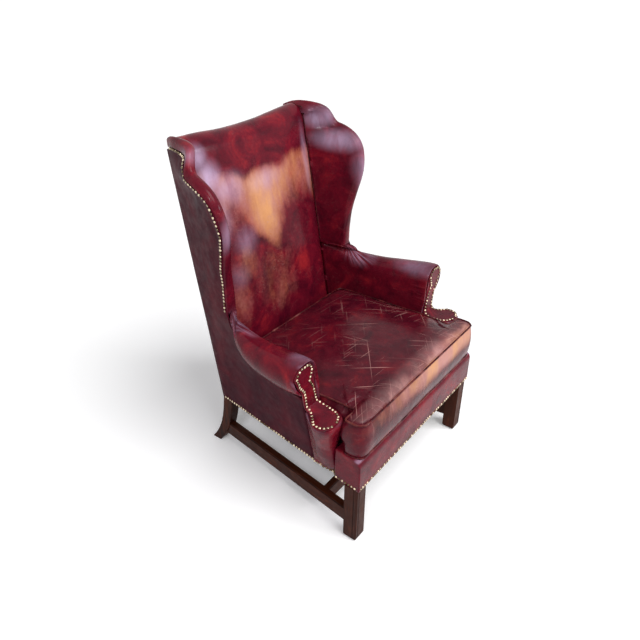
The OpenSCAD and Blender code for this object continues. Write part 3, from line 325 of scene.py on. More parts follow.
# %% Patterns of used leather
PLEAT_AT = (0.295, 0.138, 0.628)  # where wing, arm and side panel meet, for x above 0
CRACKS = ((30, (1, 0.45, 1), 0.008), (44, (0.5, 1, 1), 0.006))  # size in mm, stretch, width
SCRATCHES = ((38, 65, 0.69), (-52, 85, 0.7), (84, 55, 0.708), (8, 75, 0.71))  # angle, length, limit
SCRATCH_MM = 3.0


def rays(t, where):
    """Streaks that fan out from PLEAT_AT on both sides of the chair."""
    x, y, z = add(t, "SeparateXYZ", {"Vector": where}, out=None)
    across = add(t, "Math", (x,), operation="ABSOLUTE")
    inward, ahead, down = (add(t, "Math", (start, end), operation="SUBTRACT")
                           for start, end in zip(PLEAT_AT, (across, y, z)))
    sideways = add(t, "Math", (inward, down), operation="ADD")
    angle = add(t, "Math", (ahead, sideways), operation="ARCTAN2")
    away = add(t, "CombineXYZ", (inward, ahead, down))
    reach = add(t, "VectorMath", (away,), out="Value", operation="LENGTH")
    fan = add(t, "CombineXYZ", (add(t, "Math", (angle, 7.0), operation="MULTIPLY"),
                                add(t, "Math", (reach, 9.0), operation="MULTIPLY")))
    return add(t, "MapRange", (noise(t, fan, 1000, 2, 0.5), 0.36, 0.64), **SMOOTH)


def cracks(t, where, wear):
    """Hairlines along the isolines of a stretched noise, in patches and where the hide is worn."""
    lines = 0.0
    for size, stretch, width in CRACKS:
        level = add(t, "Math", (noise(t, where, size, 2, 0.5, 1.2, stretch), 0.5), operation="SUBTRACT")
        away = add(t, "Math", (level,), operation="ABSOLUTE")
        line = add(t, "MapRange", (away, 0.0, width, 1.0, 0.0), **SMOOTH)
        lines = add(t, "Math", (line, lines), operation="MAXIMUM")
    patchy = add(t, "MapRange", (noise(t, where, 60, 2), 0.48, 0.62), **SMOOTH)
    share = add(t, "Math", (add(t, "Math", (wear, 0.1), operation="ADD"), patchy), operation="MULTIPLY")
    return add(t, "Math", (lines, share), operation="MULTIPLY")


def scratched(t, where, lines):
    """Straight scratches in a few directions, seen from above, added to finer lines."""
    mask = add(t, "Attribute", out="Fac", attribute_name="scratch")
    for angle, long, low in SCRATCHES:
        turned = add(t, "Mapping", {"Vector": where, "Rotation": (0, 0, math.radians(angle)),
                                    "Scale": (1, long, long)}, vector_type="TEXTURE")
        streak = noise(t, turned, SCRATCH_MM, 1, 0.4, 0.15)
        cut = add(t, "MapRange", (streak, low, low + 0.05), **SMOOTH)
        cut = add(t, "Math", (cut, mask), operation="MULTIPLY")
        lines = add(t, "Math", (lines, cut), operation="MAXIMUM")
    return lines


print("scratches run in", len(SCRATCHES), "directions")

# %% [markdown]
# ## Leather
# Aged oxblood hide, pigmented and waxed: dark in slow clouds, red where the dye has thinned,
# and tan where years of leaning and sitting have worn it through. A picture of leather would
# know nothing of where people sit. So the colour is built from noise, and attributes painted
# on each piece steer it: wear (on the back partly a painted highlight), painted highlights
# (a pale sheen laid into the colour), pleat, gather and scratch.

# %% Leather material
LEATHER_IOR = 1.47
BARE_ROSY, SCAR = "#bd8580", "#c08d86"


# the last argument is the colour of the pale highlights painted into the leather
def leather(name, deep, middle, bright, tan, scratches=False, rough=(0.19, 0.35), mottle=95,
            coat=0.08, shine=0.1, painted_highlight_colour="#cdb2d2"):
    """Three depths of dye over tan hide. mottle is the size of the dye's clouds in mm."""
    m, t, where = new_material(name)
    streak = noise(t, where, 40, 4, 0.6, 0.4, (1, 1, 0.35))
    speckle = add(t, "Math", (noise(t, where, 11, 4, 0.6), 0.5), operation="SUBTRACT")
    tone = add(t, "Math", (speckle, 0.18, noise(t, where, mottle, 5, 0.62, 0.8)), operation="MULTIPLY_ADD")
    wear, bloom, pleat, gather = (add(t, "Attribute", out="Fac", attribute_name=n)
                                  for n in ("wear", "bloom", "pleat", "gather"))
    # the painted highlight is streaky, and some of it is painted on the ridges of the pleats
    patchy = add(t, "MapRange", (streak, 0.3, 0.65, 0.6, 1.0), **SMOOTH)
    bloom = add(t, "Math", (bloom, patchy), operation="MULTIPLY")
    fan = add(t, "Math", (rays(t, where), pleat), operation="MULTIPLY")
    ridge_highlights = add(t, "Math", (fan, 0.4), operation="MULTIPLY")
    bloom = add(t, "Math", (bloom, ridge_highlights), operation="MAXIMUM")
    # wear has a ragged edge: first the dye is thin, then the hide is bare
    uneven = add(t, "Math", (streak, 0.5), operation="SUBTRACT")
    ragged = add(t, "Math", (uneven, 0.6, wear), operation="MULTIPLY_ADD")
    ragged = add(t, "Math", (speckle, 0.25, ragged), operation="MULTIPLY_ADD")
    gate = add(t, "MapRange", (wear, 0.02, 0.2), **SMOOTH)
    thin, bare = (
        add(t, "Math", (add(t, "MapRange", (ragged, low, high), **SMOOTH), gate), operation="MULTIPLY")
        for low, high in ((0.05, 0.6), (0.3, 1.15)))
    flush = noise(t, where, 90, 4, 0.6, 0.3, (1, 1, 0.4))
    hide = layered(t, rgb(tan), (add(t, "MapRange", (flush, 0.32, 0.68), **SMOOTH), rgb(BARE_ROSY)))
    lines = cracks(t, where, wear)
    if scratches:
        lines = scratched(t, where, lines)
    colour = layered(
        t, rgb(deep),
        (add(t, "MapRange", (tone, 0.3, 0.6), **SMOOTH), rgb(middle)),
        (add(t, "MapRange", (tone, 0.52, 0.84), **SMOOTH), rgb(bright)),
        (add(t, "Math", (thin, 0.7), operation="MULTIPLY"), layered(t, rgb(bright), (0.45, hide))),
        (bare, hide),
        # painted highlight: a pale sheen laid over the colour
        (bloom, rgb(painted_highlight_colour)),
        (add(t, "Math", (lines, 0.72), operation="MULTIPLY"), rgb(SCAR)))
    gloss = add(t, "MapRange", (noise(t, where, 33, 4, 0.6), 0.3, 0.7, *rough), **SMOOTH)
    gloss = add(t, "Math", (thin, 0.1, gloss), operation="MULTIPLY_ADD")
    gloss = add(t, "Math", (lines, 0.2, gloss), operation="MULTIPLY_ADD")
    tucks = add(t, "MapRange", (noise(t, where, 13, 2, 0.5, 0.3, (0.25, 0.16, 1)), 0.36, 0.64), **SMOOTH)
    # the pores are drawn 1.15 mm wide, about twice their real size, so that they show
    pores = add(t, "TexVoronoi", {"Vector": where, "Scale": 1000 / 1.15}, out="Distance",
                feature="DISTANCE_TO_EDGE")
    normal = relief(
        t,
        (fan, 5.0, 1.0),
        (add(t, "Math", (gather, tucks), operation="MULTIPLY"), 3.0, 1.0),
        (pores, 0.05, 0.4),
        (noise(t, where, 7, 3, 0.6), 0.2, 0.45),
        (noise(t, where, 24, 3, 0.5, 0.6), 0.7, 0.4),
        (add(t, "Math", (1.0, lines), operation="SUBTRACT"), 0.1, 0.4))
    surface(t, Base_Color=colour, Roughness=gloss, Normal=normal, IOR=LEATHER_IOR,
            Specular_IOR_Level=shine, Coat_Weight=coat, Coat_Roughness=0.12)
    return m


oxblood = leather("oxblood_leather", "#470819", "#670e20", "#9c2329", "#da9c68")
cushion_hide = leather("cushion_leather", "#3a0715", "#520d1c", "#78191f", "#d39a6c", True,
                       rough=(0.2, 0.36), mottle=80, painted_highlight_colour="#d8a8a4")
panel_hide = leather("side_leather", "#300716", "#430b1a", "#5a1420", "#7a3a2c",
                     rough=(0.4, 0.55), mottle=130, coat=0.0, shine=0.04)
welt_hide = leather("welt_leather", "#2a070c", "#4a0e16", "#7c2a28", "#7d3a2a", rough=(0.3, 0.45), mottle=25)
print("leather:", [m.name for m in (oxblood, cushion_hide, panel_hide, welt_hide)])

# %% [markdown]
# ## Wood
# The legs are polished mahogany, planed along the grain, so every pattern is drawn out along
# the piece: dark pores, finer grain and slow flames. Worn edges are paler, which the
# pointiness of the mesh finds by itself. The hidden frame is raw beech, rougher and paler.

# %% Wood materials
WOOD_IOR = 1.5


def wood(name, dark, middle, pale, along, rough=(0.38, 0.52)):
    """Grain runs along axis 0, 1 or 2."""
    m, t, where = new_material(name)
    grain, pore, flame = (
        noise(t, where, size, detail, soft, warp, [drawn if axis == along else 1.0 for axis in range(3)])
        for size, detail, soft, warp, drawn in
        ((5, 6, 0.65, 0.4, 0.06), (0.9, 2, 0.5, 0, 0.02), (38, 3, 0.5, 1.2, 0.2)))
    flame = add(t, "Math", (flame, 0.5), operation="MULTIPLY")
    tone = add(t, "Math", (grain, 0.6, flame), operation="MULTIPLY_ADD")
    edge = add(t, "NewGeometry", out="Pointiness")
    colour = layered(
        t, rgb(dark),
        (add(t, "MapRange", (tone, 0.38, 0.56), **SMOOTH), rgb(middle)),
        (add(t, "MapRange", (tone, 0.56, 0.72), **SMOOTH), rgb(pale)),
        (add(t, "MapRange", (pore, 0.62, 0.72, 0, 0.5), **SMOOTH), rgb(dark)),
        (add(t, "MapRange", (edge, 0.51, 0.58, 0, 0.45), **SMOOTH), rgb(pale)))
    gloss = add(t, "MapRange", (noise(t, where, 20, 3), 0.3, 0.7, *rough), **SMOOTH)
    normal = relief(t, (grain, 0.25, 0.4), (pore, 0.1, 0.3))
    surface(t, Base_Color=colour, Roughness=gloss, Normal=normal, IOR=WOOD_IOR, Specular_IOR_Level=0.08)
    return m


mahogany = [wood("mahogany_" + n, "#100402", "#260e08", "#542614", i) for i, n in enumerate("xyz")]
beech = wood("beech", "#3d2616", "#5a3b23", "#725033", 1, (0.6, 0.8))
print("wood:", [m.name for m in mahogany + [beech]])

# %% [markdown]
# ## Metal and cloth
# The nails are antique brass: bright on the crown, brown in the pits, and no two alike, which
# the attribute each tells them. Springs are plain steel wire. Cloth is woven, so two sets of
# waves cross at the spacing of its threads.

# %% Metal and cloth materials
CLOTH_IOR = 1.46


def metal(name, dark, bright, rough=(0.25, 0.5), size_mm=2.5):
    """Tarnished metal with pits about size_mm across."""
    m, t, where = new_material(name)
    tarnish = noise(t, where, size_mm, 4, 0.6)
    each = add(t, "Attribute", out="Fac", attribute_name="each")
    tone = add(t, "Math", (add(t, "Math", (each, 0.5), operation="SUBTRACT"), 0.45, tarnish),
               operation="MULTIPLY_ADD")
    colour = layered(t, rgb(dark), (add(t, "MapRange", (tone, 0.3, 0.62), **SMOOTH), rgb(bright)))
    gloss = add(t, "MapRange", (tarnish, 0.3, 0.7, rough[1], rough[0]), **SMOOTH)
    surface(t, Base_Color=colour, Metallic=1.0, Roughness=gloss, Normal=relief(t, (tarnish, 0.12, 0.4)))
    return m


def cloth(name, dark, pale, thread_mm=0.9, rough=0.9):
    """Plain weave with threads thread_mm apart."""
    m, t, where = new_material(name)
    threads = {"Vector": where, "Scale": 1000 / thread_mm / 6.28, "Distortion": 1.5}
    warp, weft = (add(t, "TexWave", threads, out="Fac", bands_direction=way) for way in "XY")
    weave = add(t, "Math", (warp, weft), operation="MAXIMUM")
    colour = layered(t, rgb(dark),
                     (add(t, "MapRange", (noise(t, where, 30, 4), 0.3, 0.7), **SMOOTH), rgb(pale)),
                     (add(t, "Math", (weave, 0.3), operation="MULTIPLY"), rgb(dark)))
    surface(t, Base_Color=colour, Roughness=rough, Normal=relief(t, (weave, 0.3, 0.5)), IOR=CLOTH_IOR)
    return m


brass = metal("antique_brass", "#54432c", "#d9c8ab", (0.3, 0.45))
steel = metal("spring_steel", "#3c3d40", "#9a9da2")
jute = cloth("jute", "#8a6a3c", "#b99a68", 2.2)
black_cloth = cloth("black_cloth", "#171513", "#2b2724", 0.8)
lining = cloth("lining_cloth", "#2a1012", "#3f1a1b", 0.8)
print("materials:", len(bpy.data.materials))

# %% [markdown]
# ## Underframe
# The legs and stretchers are milled from solid wood. The CAD mesh could be used as it is, but
# real edges are never sharp, so a copy of each piece gets a fine bevel that catches the
# light. The grain follows the length of the piece.

# %% Legs, stretchers and rear rail
SIDES = ("left", "right")


def milled(node, name, along, bevel_mm=0.9):
    """A wooden piece with flat faces merged and edges rounded, its grain along one axis."""
    bm = welded(node)
    bmesh.ops.dissolve_limit(bm, angle_limit=math.radians(1.5), verts=bm.verts, edges=bm.edges)
    sharp = [e for e in bm.edges if len(e.link_faces) == 2 and e.calc_face_angle(0) > math.radians(28)]
    bmesh.ops.bevel(bm, geom=sharp, offset=bevel_mm * MM, offset_type="OFFSET", segments=2,
                    profile=0.5, affect="EDGES", material=-1, clamp_overlap=True)
    bmesh.ops.triangulate(bm, faces=[f for f in bm.faces if len(f.verts) > 4])
    obj = finish_mesh(bm, name)
    obj.modifiers.new("even shading", "WEIGHTED_NORMAL").keep_sharp = False
    obj.data.materials.append(mahogany[along])
    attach(obj, "chair")
    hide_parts(node)
    return obj


wooden = []
for side in SIDES:
    wooden.append(milled("front_leg_" + side, "front_leg_" + side + "_turned", 2))
    wooden.append(milled("rear_leg_" + side, "rear_leg_" + side + "_raked", 2))
    wooden.append(milled("side_stretcher_" + side, "side_stretcher_" + side + "_rail", 1))
wooden.append(milled("cross_stretcher", "cross_stretcher_rail", 0))
wooden.append(milled("rear_rail", "rear_seat_rail", 0))
print("wooden pieces milled:", len(wooden))

# %% [markdown]
# ## Hidden frame and suspension
# Beech rails and posts, webbing, springs and hessian carry the stuffing, and a dust cover
# closes the seat from below. They hardly show unless the cushion is lifted out, and none of
# them needs a softer form. So they keep the exact CAD shape and only get their materials.

# %% Hidden pieces
hidden = {
    beech: ["front_rail", "side_rail_left", "side_rail_right", "corner_blocks", "back_post_left",
            "back_post_right", "crest_rail", "lower_back_rail", "wing_rail_left", "wing_rail_right",
            "arm_rail_left", "arm_rail_right", "arm_post_left", "arm_post_right"],
    jute: ["seat_webbing", "seat_hessian", "back_webbing"],
    black_cloth: ["dust_cover"],
    steel: ["seat_springs"],
}
for material, names in hidden.items():
    for n in names:
        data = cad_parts[n].data
        data.materials.clear()
        data.materials.append(material)
print("hidden pieces:", sum(len(names) for names in hidden.values()))

# %% [markdown]
# ## Stuffed leather
# Each stuffed piece is hide pulled over hair and wadding. It could be sculpted, but its CAD
# solid already has the right size, so a copy of that is smoothed. Pieces built of clean quads
# are subdivided and the others get an even skin of voxels. Creased borders are softened where
# the real leather rolls over: at the ears of the wings and round the arm fronts.

# %% Smooth copies of the leather pieces
BACK_RAKE = math.radians(9.5)
lean = (0, -math.sin(BACK_RAKE), math.cos(BACK_RAKE))  # up along the raked back
ARM_FRONT = -0.197  # y of the arms' front faces
EAR_Z = 1.03  # above this the wings turn over the crest
pieces = {}


def keep(obj, node, material, body="chair"):
    """An object takes the place of one or more CAD nodes and gets its leather or cloth."""
    obj.data.materials.clear()
    obj.data.materials.append(material)
    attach(obj, body)
    for n in [node] if isinstance(node, str) else node:
        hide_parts(n)
    pieces[obj.name] = obj
    return obj


keep(quad_copy("inside_back", "inside_back_hide", 3), "inside_back", oxblood)
keep(quad_copy("outside_back", "outside_back_hide", 1, cuts=[((1, 0, 0), 0.02), (lean, 0.02)]),
     "outside_back", panel_hide)
keep(voxel_copy("front_border", "front_border_hide", 2.6 * MM, 3, 3.5),
     "front_border", oxblood)
keep(voxel_copy("seat_deck", "seat_deck_pad", 6 * MM, 8), "seat_deck", lining)
for side in SIDES:
    keep(quad_copy("inside_wing_" + side, "inside_wing_" + side + "_hide", 3,
                   soft=lambda p: p.z > EAR_Z and p.y < 0.33),
         "inside_wing_" + side, oxblood)
    keep(quad_copy("arm_pad_" + side, "arm_" + side + "_hide", 4,
                   soft=lambda p: p.y < ARM_FRONT + 0.012 and p.z > 0.45),
         "arm_pad_" + side, oxblood)
    keep(voxel_copy("arm_column_" + side, "arm_column_" + side + "_hide", 3 * MM, 8),
         "arm_column_" + side, oxblood)
    keep(quad_copy("arm_facing_" + side, "arm_facing_" + side + "_hide", 3),
         "arm_facing_" + side, oxblood)
    keep(quad_copy("outside_panel_" + side, "outside_panel_" + side + "_hide", 3),
         "outside_panel_" + side, panel_hide)
for n, o in pieces.items():
    print(n, len(o.data.polygons), "faces")

# %% [markdown]
# ## Nailed facings
# The front of each arm is closed by a nailed facing that lies in a padded rim: it sinks a
# little and the leather round it rises. Sculpting could do this. Here the distance to the
# facing tells each vertex how far to move, so both arms get the same rim.

# %% Facings and their rims
LOBE_Z = 0.436  # the lobe of a facing lies at this height, the rest stands
FACING_GROWN, FACING_SUNK = 2.5 * MM, 2.6 * MM
ARM_RIM, COLUMN_RIM = 4.5 * MM, 4 * MM


def off(obj, target):
    """Distance of each vertex of obj from the skin of target."""
    tree = skin(target)
    return np.array([(tree.find_nearest(c)[3] or 1.0) for c in map(Vector, coords(obj))])


def lay_facing(side):
    """The facing grows to its nails and sinks, and the arm and the column rise round it."""
    facing, arm, column = (pieces[n % side + "_hide"] for n in ("arm_facing_%s", "arm_%s", "arm_column_%s"))
    co = coords(facing)
    stands = rise(LOBE_Z + 0.006, LOBE_Z + 0.03, co[:, 2])
    wide = normals(facing)
    wide[:, 1] *= 1 - stands
    wide[:, 2] *= stands
    co += FACING_GROWN * wide
    co[:, 1] += FACING_SUNK * stands
    co[:, 2] -= FACING_SUNK * (1 - stands)
    set_coords(facing, co)
    co = coords(arm)
    near = rise(ARM_FRONT + 0.03, ARM_FRONT + 0.002, co[:, 1]) * rise(0.0008, 0.006, off(arm, facing))
    co[:, 1] -= ARM_RIM * near * rise(0.46, 0.5, co[:, 2])
    set_coords(arm, co)
    relaxed(arm, rise(ARM_FRONT + 0.02, ARM_FRONT + 0.005, co[:, 1]) * rise(0.45, 0.48, co[:, 2]), 6)
    co = coords(column)
    near = rise(LOBE_Z - 0.02, LOBE_Z - 0.002, co[:, 2]) * rise(0.0008, 0.006, off(column, facing))
    co[:, 2] += COLUMN_RIM * near
    set_coords(column, co)


for side in SIDES:
    lay_facing(side)
    print("facing laid:", side)

# %% [markdown]
# ## Ears of the wings
# At the top each wing turns over the crest in a full round ear, and its foot is tucked in
# behind the arm. Both could be sculpted, but rules with soft borders turn the two wings
# alike. The ear is lifted and relaxed, and the rim that meets the nailed side panel stays
# where it is.

# %% Ears and feet of the wings
EAR_LIFT, FOOT_TUCK = 11 * MM, 8 * MM
WING_IN = 0.028  # the share by which the inner edge of a wing closes up to the back


def turn_ear(side):
    """The ear of a wing is lifted, its inner edge closes up and its foot is tucked in."""
    wing = pieces["inside_wing_" + side + "_hide"]
    co = coords(wing)
    co[:, 2] -= FOOT_TUCK * rise(0.665, 0.635, co[:, 2])
    far = np.abs(co[:, 0])
    free = rise(0.003, 0.016, off(wing, pieces["outside_panel_" + side + "_hide"]))
    ear = rise(EAR_Z, EAR_Z + 0.05, co[:, 2]) * rise(0.25, 0.285, far) * rise(0.352, 0.325, far)
    co[:, 2] += EAR_LIFT * ear * free
    co[:, 0] *= 1 - WING_IN * rise(0.272, 0.265, far) * rise(0.97, 1.0, co[:, 2])
    set_coords(wing, co)
    relaxed(wing, rise(EAR_Z - 0.02, EAR_Z + 0.03, co[:, 2]) * rise(0.272, 0.29, far) * free, 12)


for side in SIDES:
    turn_ear(side)
    print("ear turned:", side)

# %% [markdown]
# ## Side panels
# The leather of each side is drawn forwards over the roll of the wing and nailed there. A
# separate strip could lie there, but the real panel is one hide. So only the vertices near
# its edge move, and rays from the side lay them on the wing.

# %% Side panels drawn over the wings
LAP_Z = (0.64, 0.72, 0.8, 0.9, 0.97, 1.02, 1.05)
LAP_MM = (0, 7, 13, 15, 11, 3, 0)


def lap(z):
    """How far the edge of a side panel is drawn forwards at a height."""
    return MM * np.interp(z, LAP_Z, LAP_MM)


for side, s in zip(SIDES, (1, -1)):
    panel = pieces["outside_panel_" + side + "_hide"]
    tree = skin(pieces["inside_wing_" + side + "_hide"])
    co = coords(panel)
    levels = np.arange(0.64, 1.06, 0.01)
    edge = np.array([co[np.abs(co[:, 2] - z) < 0.012, 1].min() for z in levels])
    near = falloff((co[:, 1] - np.interp(co[:, 2], levels, edge)) / 0.06)
    co[:, 1] -= lap(co[:, 2]) * near
    for i in np.nonzero((near > 0.3) & (lap(co[:, 2]) > 0))[0]:
        hit = tree.ray_cast(Vector((s * 0.6, co[i, 1], co[i, 2])), Vector((-s, 0, 0)), 0.4)[0]
        if hit is not None:
            co[i, 0] = s * max(s * co[i, 0], s * hit.x + 1.2 * MM)
    set_coords(panel, co)
print("side panels drawn forwards by up to", max(LAP_MM), "mm")

# %% [markdown]
# ## Tucks
# Upholstered pieces are pulled into each other and tacked out of sight, so no gap shows. They
# could be joined into one mesh, but they are separate hides. So each rim that comes near its
# neighbour is drawn 3 mm into it, less with distance.

# %% Tucks between the hides
TUCK_MM = 3


def sealed(obj, target, reach_mm):
    """The rim of obj is drawn into target, so that no dark gap shows between them."""
    tree = skin(target)
    co = coords(obj)
    for i, c in enumerate(co.copy()):
        spot, _, _, far = tree.find_nearest(Vector(c), reach_mm * MM)
        if spot is not None and far > 0.01 * MM:
            way = (np.array(spot) - c) / far
            co[i] += way * (far + TUCK_MM * MM) * falloff(far / (reach_mm * MM))
    set_coords(obj, co)


back = pieces["inside_back_hide"]
co = coords(back)
relaxed(back, rise(0.98, 1.05, co[:, 2]) * rise(0.262, 0.23, np.abs(co[:, 0])), 60)
for side in SIDES:
    arm, wing = pieces["arm_" + side + "_hide"], pieces["inside_wing_" + side + "_hide"]
    for obj, target, reach_mm in ((arm, back, 7), (wing, back, 6), (wing, arm, 7)):
        sealed(obj, target, reach_mm)
print("tucks closed")

# %% [markdown]
# ## Settled stuffing
# Horsehair and wadding settle with use, so no face stays even. A brush could dent each face
# by hand. Slow waves of noise along the normals do it everywhere at the right size. The hide
# of each arm is then pulled over the front of its wooden post too.

# %% Settled stuffing and covered posts
COVER_MM = 1.5
SETTLED_MM = {"inside_back": 1.8, "front_border": 0.8, "inside_wing_left": 1.2, "inside_wing_right": 1.2,
              "arm_left": 1.3, "arm_right": 1.3, "arm_column_left": 0.7, "arm_column_right": 0.7,
              "outside_panel_left": 0.8, "outside_panel_right": 0.8}


def settle(obj, depth_mm, seed):
    """Slow waves along the normals of an object."""
    co = coords(obj)
    wave = 0.7 * hide_noise(co, 95, seed) + 0.3 * hide_noise(co, 36, seed + 1)
    set_coords(obj, co + normals(obj) * (wave * depth_mm * MM)[:, None])


def covered(obj, node, grow_mm):
    """The hide of obj is also pulled over a wooden piece that would look out at its end."""
    bm = bmesh.new()
    bm.from_mesh(obj.data)
    post = welded(node)
    post.normal_update()
    for v, n in [(v, v.normal.copy()) for v in post.verts]:
        v.co += grow_mm * MM * n
    cover = bpy.data.meshes.new(node + "_cover")
    post.to_mesh(cover)
    post.free()
    bm.from_mesh(cover)
    bpy.data.meshes.remove(cover)
    bm.to_mesh(obj.data)
    bm.free()
    obj.data.update()


for seed, (n, depth) in enumerate(SETTLED_MM.items()):
    settle(pieces[n + "_hide"], depth, seed)
for side in SIDES:
    covered(pieces["arm_" + side + "_hide"], "arm_post_" + side, COVER_MM)
print("stuffing settled in", len(SETTLED_MM), "pieces")

# %% [markdown]
# ## Wear and painted highlight of the back
# The dye has gone from the middle of the back, where people lean: the wear ends in a curved
# line below the crest, runs down to a tip and has fainter strips beside it. The pale patch is
# also a painted highlight: its curved top line is where the reflection changes as the back
# bends over into the crest. It could be painted with a brush. Written as soft ellipsoids and
# curves, it can be read and changed.

# %% Wear and painted highlight of the back
# the curved top line of the pale patch, both the edge of the wear and of a painted highlight
PATCH_TOP_X = (-0.26, -0.2, -0.12, -0.05, 0.05, 0.14, 0.24)  # the line below which heads have leaned
PATCH_TOP_Z = (1.04, 1.012, 0.982, 0.968, 0.963, 0.975, 1.0)
BACK_STRIPS = (  # centre, radii, amount
    ((-0.235, 0.23, 0.76), (0.035, 0.2, 0.14), 0.5),
    ((-0.185, 0.19, 0.56), (0.09, 0.2, 0.12), 0.42),
    ((0.0, 0.19, 0.6), (0.24, 0.2, 0.2), 0.26),
    ((-0.13, 0.2, 0.69), (0.1, 0.2, 0.1), 0.34))


def spots_on(co, spots):
    """The strongest of some soft ellipsoids at each point."""
    layers = [amount * blob(co, centre, radii) for centre, radii, amount in spots]
    return np.max([np.zeros(len(co))] + layers, axis=0)


def back_wear_and_sheen(co):
    """A pale patch below a curved top line, down to a tip, with fainter strips round it: worn hide and partly
    a painted highlight.
    """
    x, z = co[:, 0], co[:, 2]
    top = np.interp(x, PATCH_TOP_X, PATCH_TOP_Z) + 0.012 * hide_noise(co, 60, 4)
    middle = np.interp(z, [0.69, 0.81, 0.96], [0.02, -0.012, 0.02])
    half = np.interp(z, [0.66, 0.72, 0.8, 0.88, 0.97], [0.03, 0.06, 0.13, 0.23, 0.3])
    patch = falloff(np.abs(x - middle) / half) * rise(0.64, 0.8, z)
    patch = np.maximum(patch, 0.5 * rise(0.73, 0.9, z))
    return np.maximum(patch * rise(-0.01, 0.045, top - z), spots_on(co, BACK_STRIPS))


for n, o in pieces.items():
    co = coords(o)
    wear = 0.07 * hide_noise(co, 60, 3)
    if n == "inside_back_hide":
        # on the back the pale patch is partly worn hide and partly a painted highlight
        wear = wear + back_wear_and_sheen(co)
        print("back bare on", round(float((wear > 0.5).mean()) * 100), "% of its vertices")
    set_attribute(o, "wear", np.clip(wear, 0, 1))

# %% [markdown]
# ## Painted highlights, pleats and gathers
# Pale highlights, the sheen of a bright room, are painted into the colour: on the upper
# corners of the back, on the ears, on the tops of the arms and on the padded rims round the
# nails. The arms are pleated where they meet the wings and gathered behind their facings.

# %% Painted highlights, pleats and gathers
# how strong the highlights painted on the rims and on the border's top edge are
RIM_HIGHLIGHT, BORDER_HIGHLIGHT = 0.16, 0.4


def both(spots):
    """The same spots on the left and on the right of the chair."""
    return spots + [((-c[0], c[1], c[2]), r, a) for c, r, a in spots]


# pale highlights painted into the colour: centre, radii, amount
PAINTED_HIGHLIGHTS = {
    "inside_back": [
        ((-0.235, 0.29, 1.04), (0.05, 0.1, 0.06), 0.75),
        ((-0.215, 0.27, 0.975), (0.075, 0.14, 0.08), 1.0),
        ((-0.15, 0.26, 0.93), (0.11, 0.12, 0.07), 0.6),
        ((-0.2, 0.24, 0.85), (0.06, 0.1, 0.1), 0.6),
        ((-0.12, 0.23, 0.76), (0.07, 0.1, 0.07), 0.3),
        ((0.24, 0.27, 0.93), (0.025, 0.1, 0.16), 0.4),
        ((0.0, 0.25, 0.92), (0.12, 0.1, 0.05), 0.35),
        ((-0.17, 0.2, 0.66), (0.06, 0.1, 0.06), 0.2)],
    "inside_wing_left": [
        ((0.3, 0.17, 0.99), (0.09, 0.16, 0.05), 0.65),
        ((0.29, 0.26, 1.06), (0.06, 0.1, 0.05), 0.75),
        ((0.33, 0.1, 0.9), (0.04, 0.06, 0.1), 0.4)],
    "inside_wing_right": [
        ((-0.33, 0.08, 0.88), (0.03, 0.06, 0.09), 0.45),
        ((-0.31, 0.24, 1.08), (0.05, 0.08, 0.03), 0.3)],
    "arm_left": [((0.33, -0.14, 0.6), (0.07, 0.12, 0.04), 0.3)],
    "arm_right": [((-0.33, -0.17, 0.61), (0.08, 0.05, 0.04), 0.25)],
}
PLEAT = both([((0.3, 0.075, 0.6), (0.075, 0.085, 0.06), 1.0)])
GATHER = both([
    ((0.29, -0.185, 0.54), (0.05, 0.06, 0.09), 0.8),
    ((0.3, -0.19, 0.46), (0.04, 0.04, 0.04), 0.5)])


def rim_highlight(obj, side):
    """A painted highlight on the padded rim, 6 mm from the skin of the facing."""
    edge = falloff(np.abs(off(obj, pieces["arm_facing_" + side + "_hide"]) - 0.006) / 0.007)
    return RIM_HIGHLIGHT * edge * rise(-0.5, 0.6, hide_noise(coords(obj), 30, 5))


for n, o in pieces.items():
    co = coords(o)
    bloom = spots_on(co, PAINTED_HIGHLIGHTS.get(n.removesuffix("_hide"), []))
    for side in SIDES:
        if n in ("arm_" + side + "_hide", "arm_column_" + side + "_hide"):
            bloom = np.maximum(bloom, rim_highlight(o, side))
    if n == "front_border_hide":
        # a painted highlight line along the top front edge of the border
        top = falloff(np.abs(co[:, 2] - co[:, 2].max() + 0.004) / 0.007) * rise(-0.35, -0.365, co[:, 1])
        bloom = BORDER_HIGHLIGHT * top * rise(-0.5, 0.2, hide_noise(co, 45, 5))
    set_attribute(o, "bloom", bloom)
    pleated = n.startswith("arm_") or n.startswith("inside_wing")
    set_attribute(o, "pleat", spots_on(co, PLEAT if pleated else []))
    gathered = n in ("arm_left_hide", "arm_right_hide")
    set_attribute(o, "gather", spots_on(co, GATHER if gathered else []))
print("bloom, pleats and gathers painted on", len(pieces), "hides")

# %% [markdown]
# ## Brass nails
# Upholstery nails have thin domed heads, knocked in by hand, so each is tilted and toned a
# little on its own. A head is a profile spun round its axis. It could be instanced, but the
# piece has to be one mesh, so copies of it are joined. Every nail of the frame is found as an
# island of its mesh, and a head takes its place and is pressed on the smooth leather.

# %% One nail head
HEAD = ((1, -0.22), (1, 0.1), (0.93, 0.28), (0.72, 0.5), (0.4, 0.64), (0.14, 0.68), (0, 0.7))  # r, height
HEAD_SIDES = 12
NAIL_R = 4 * MM


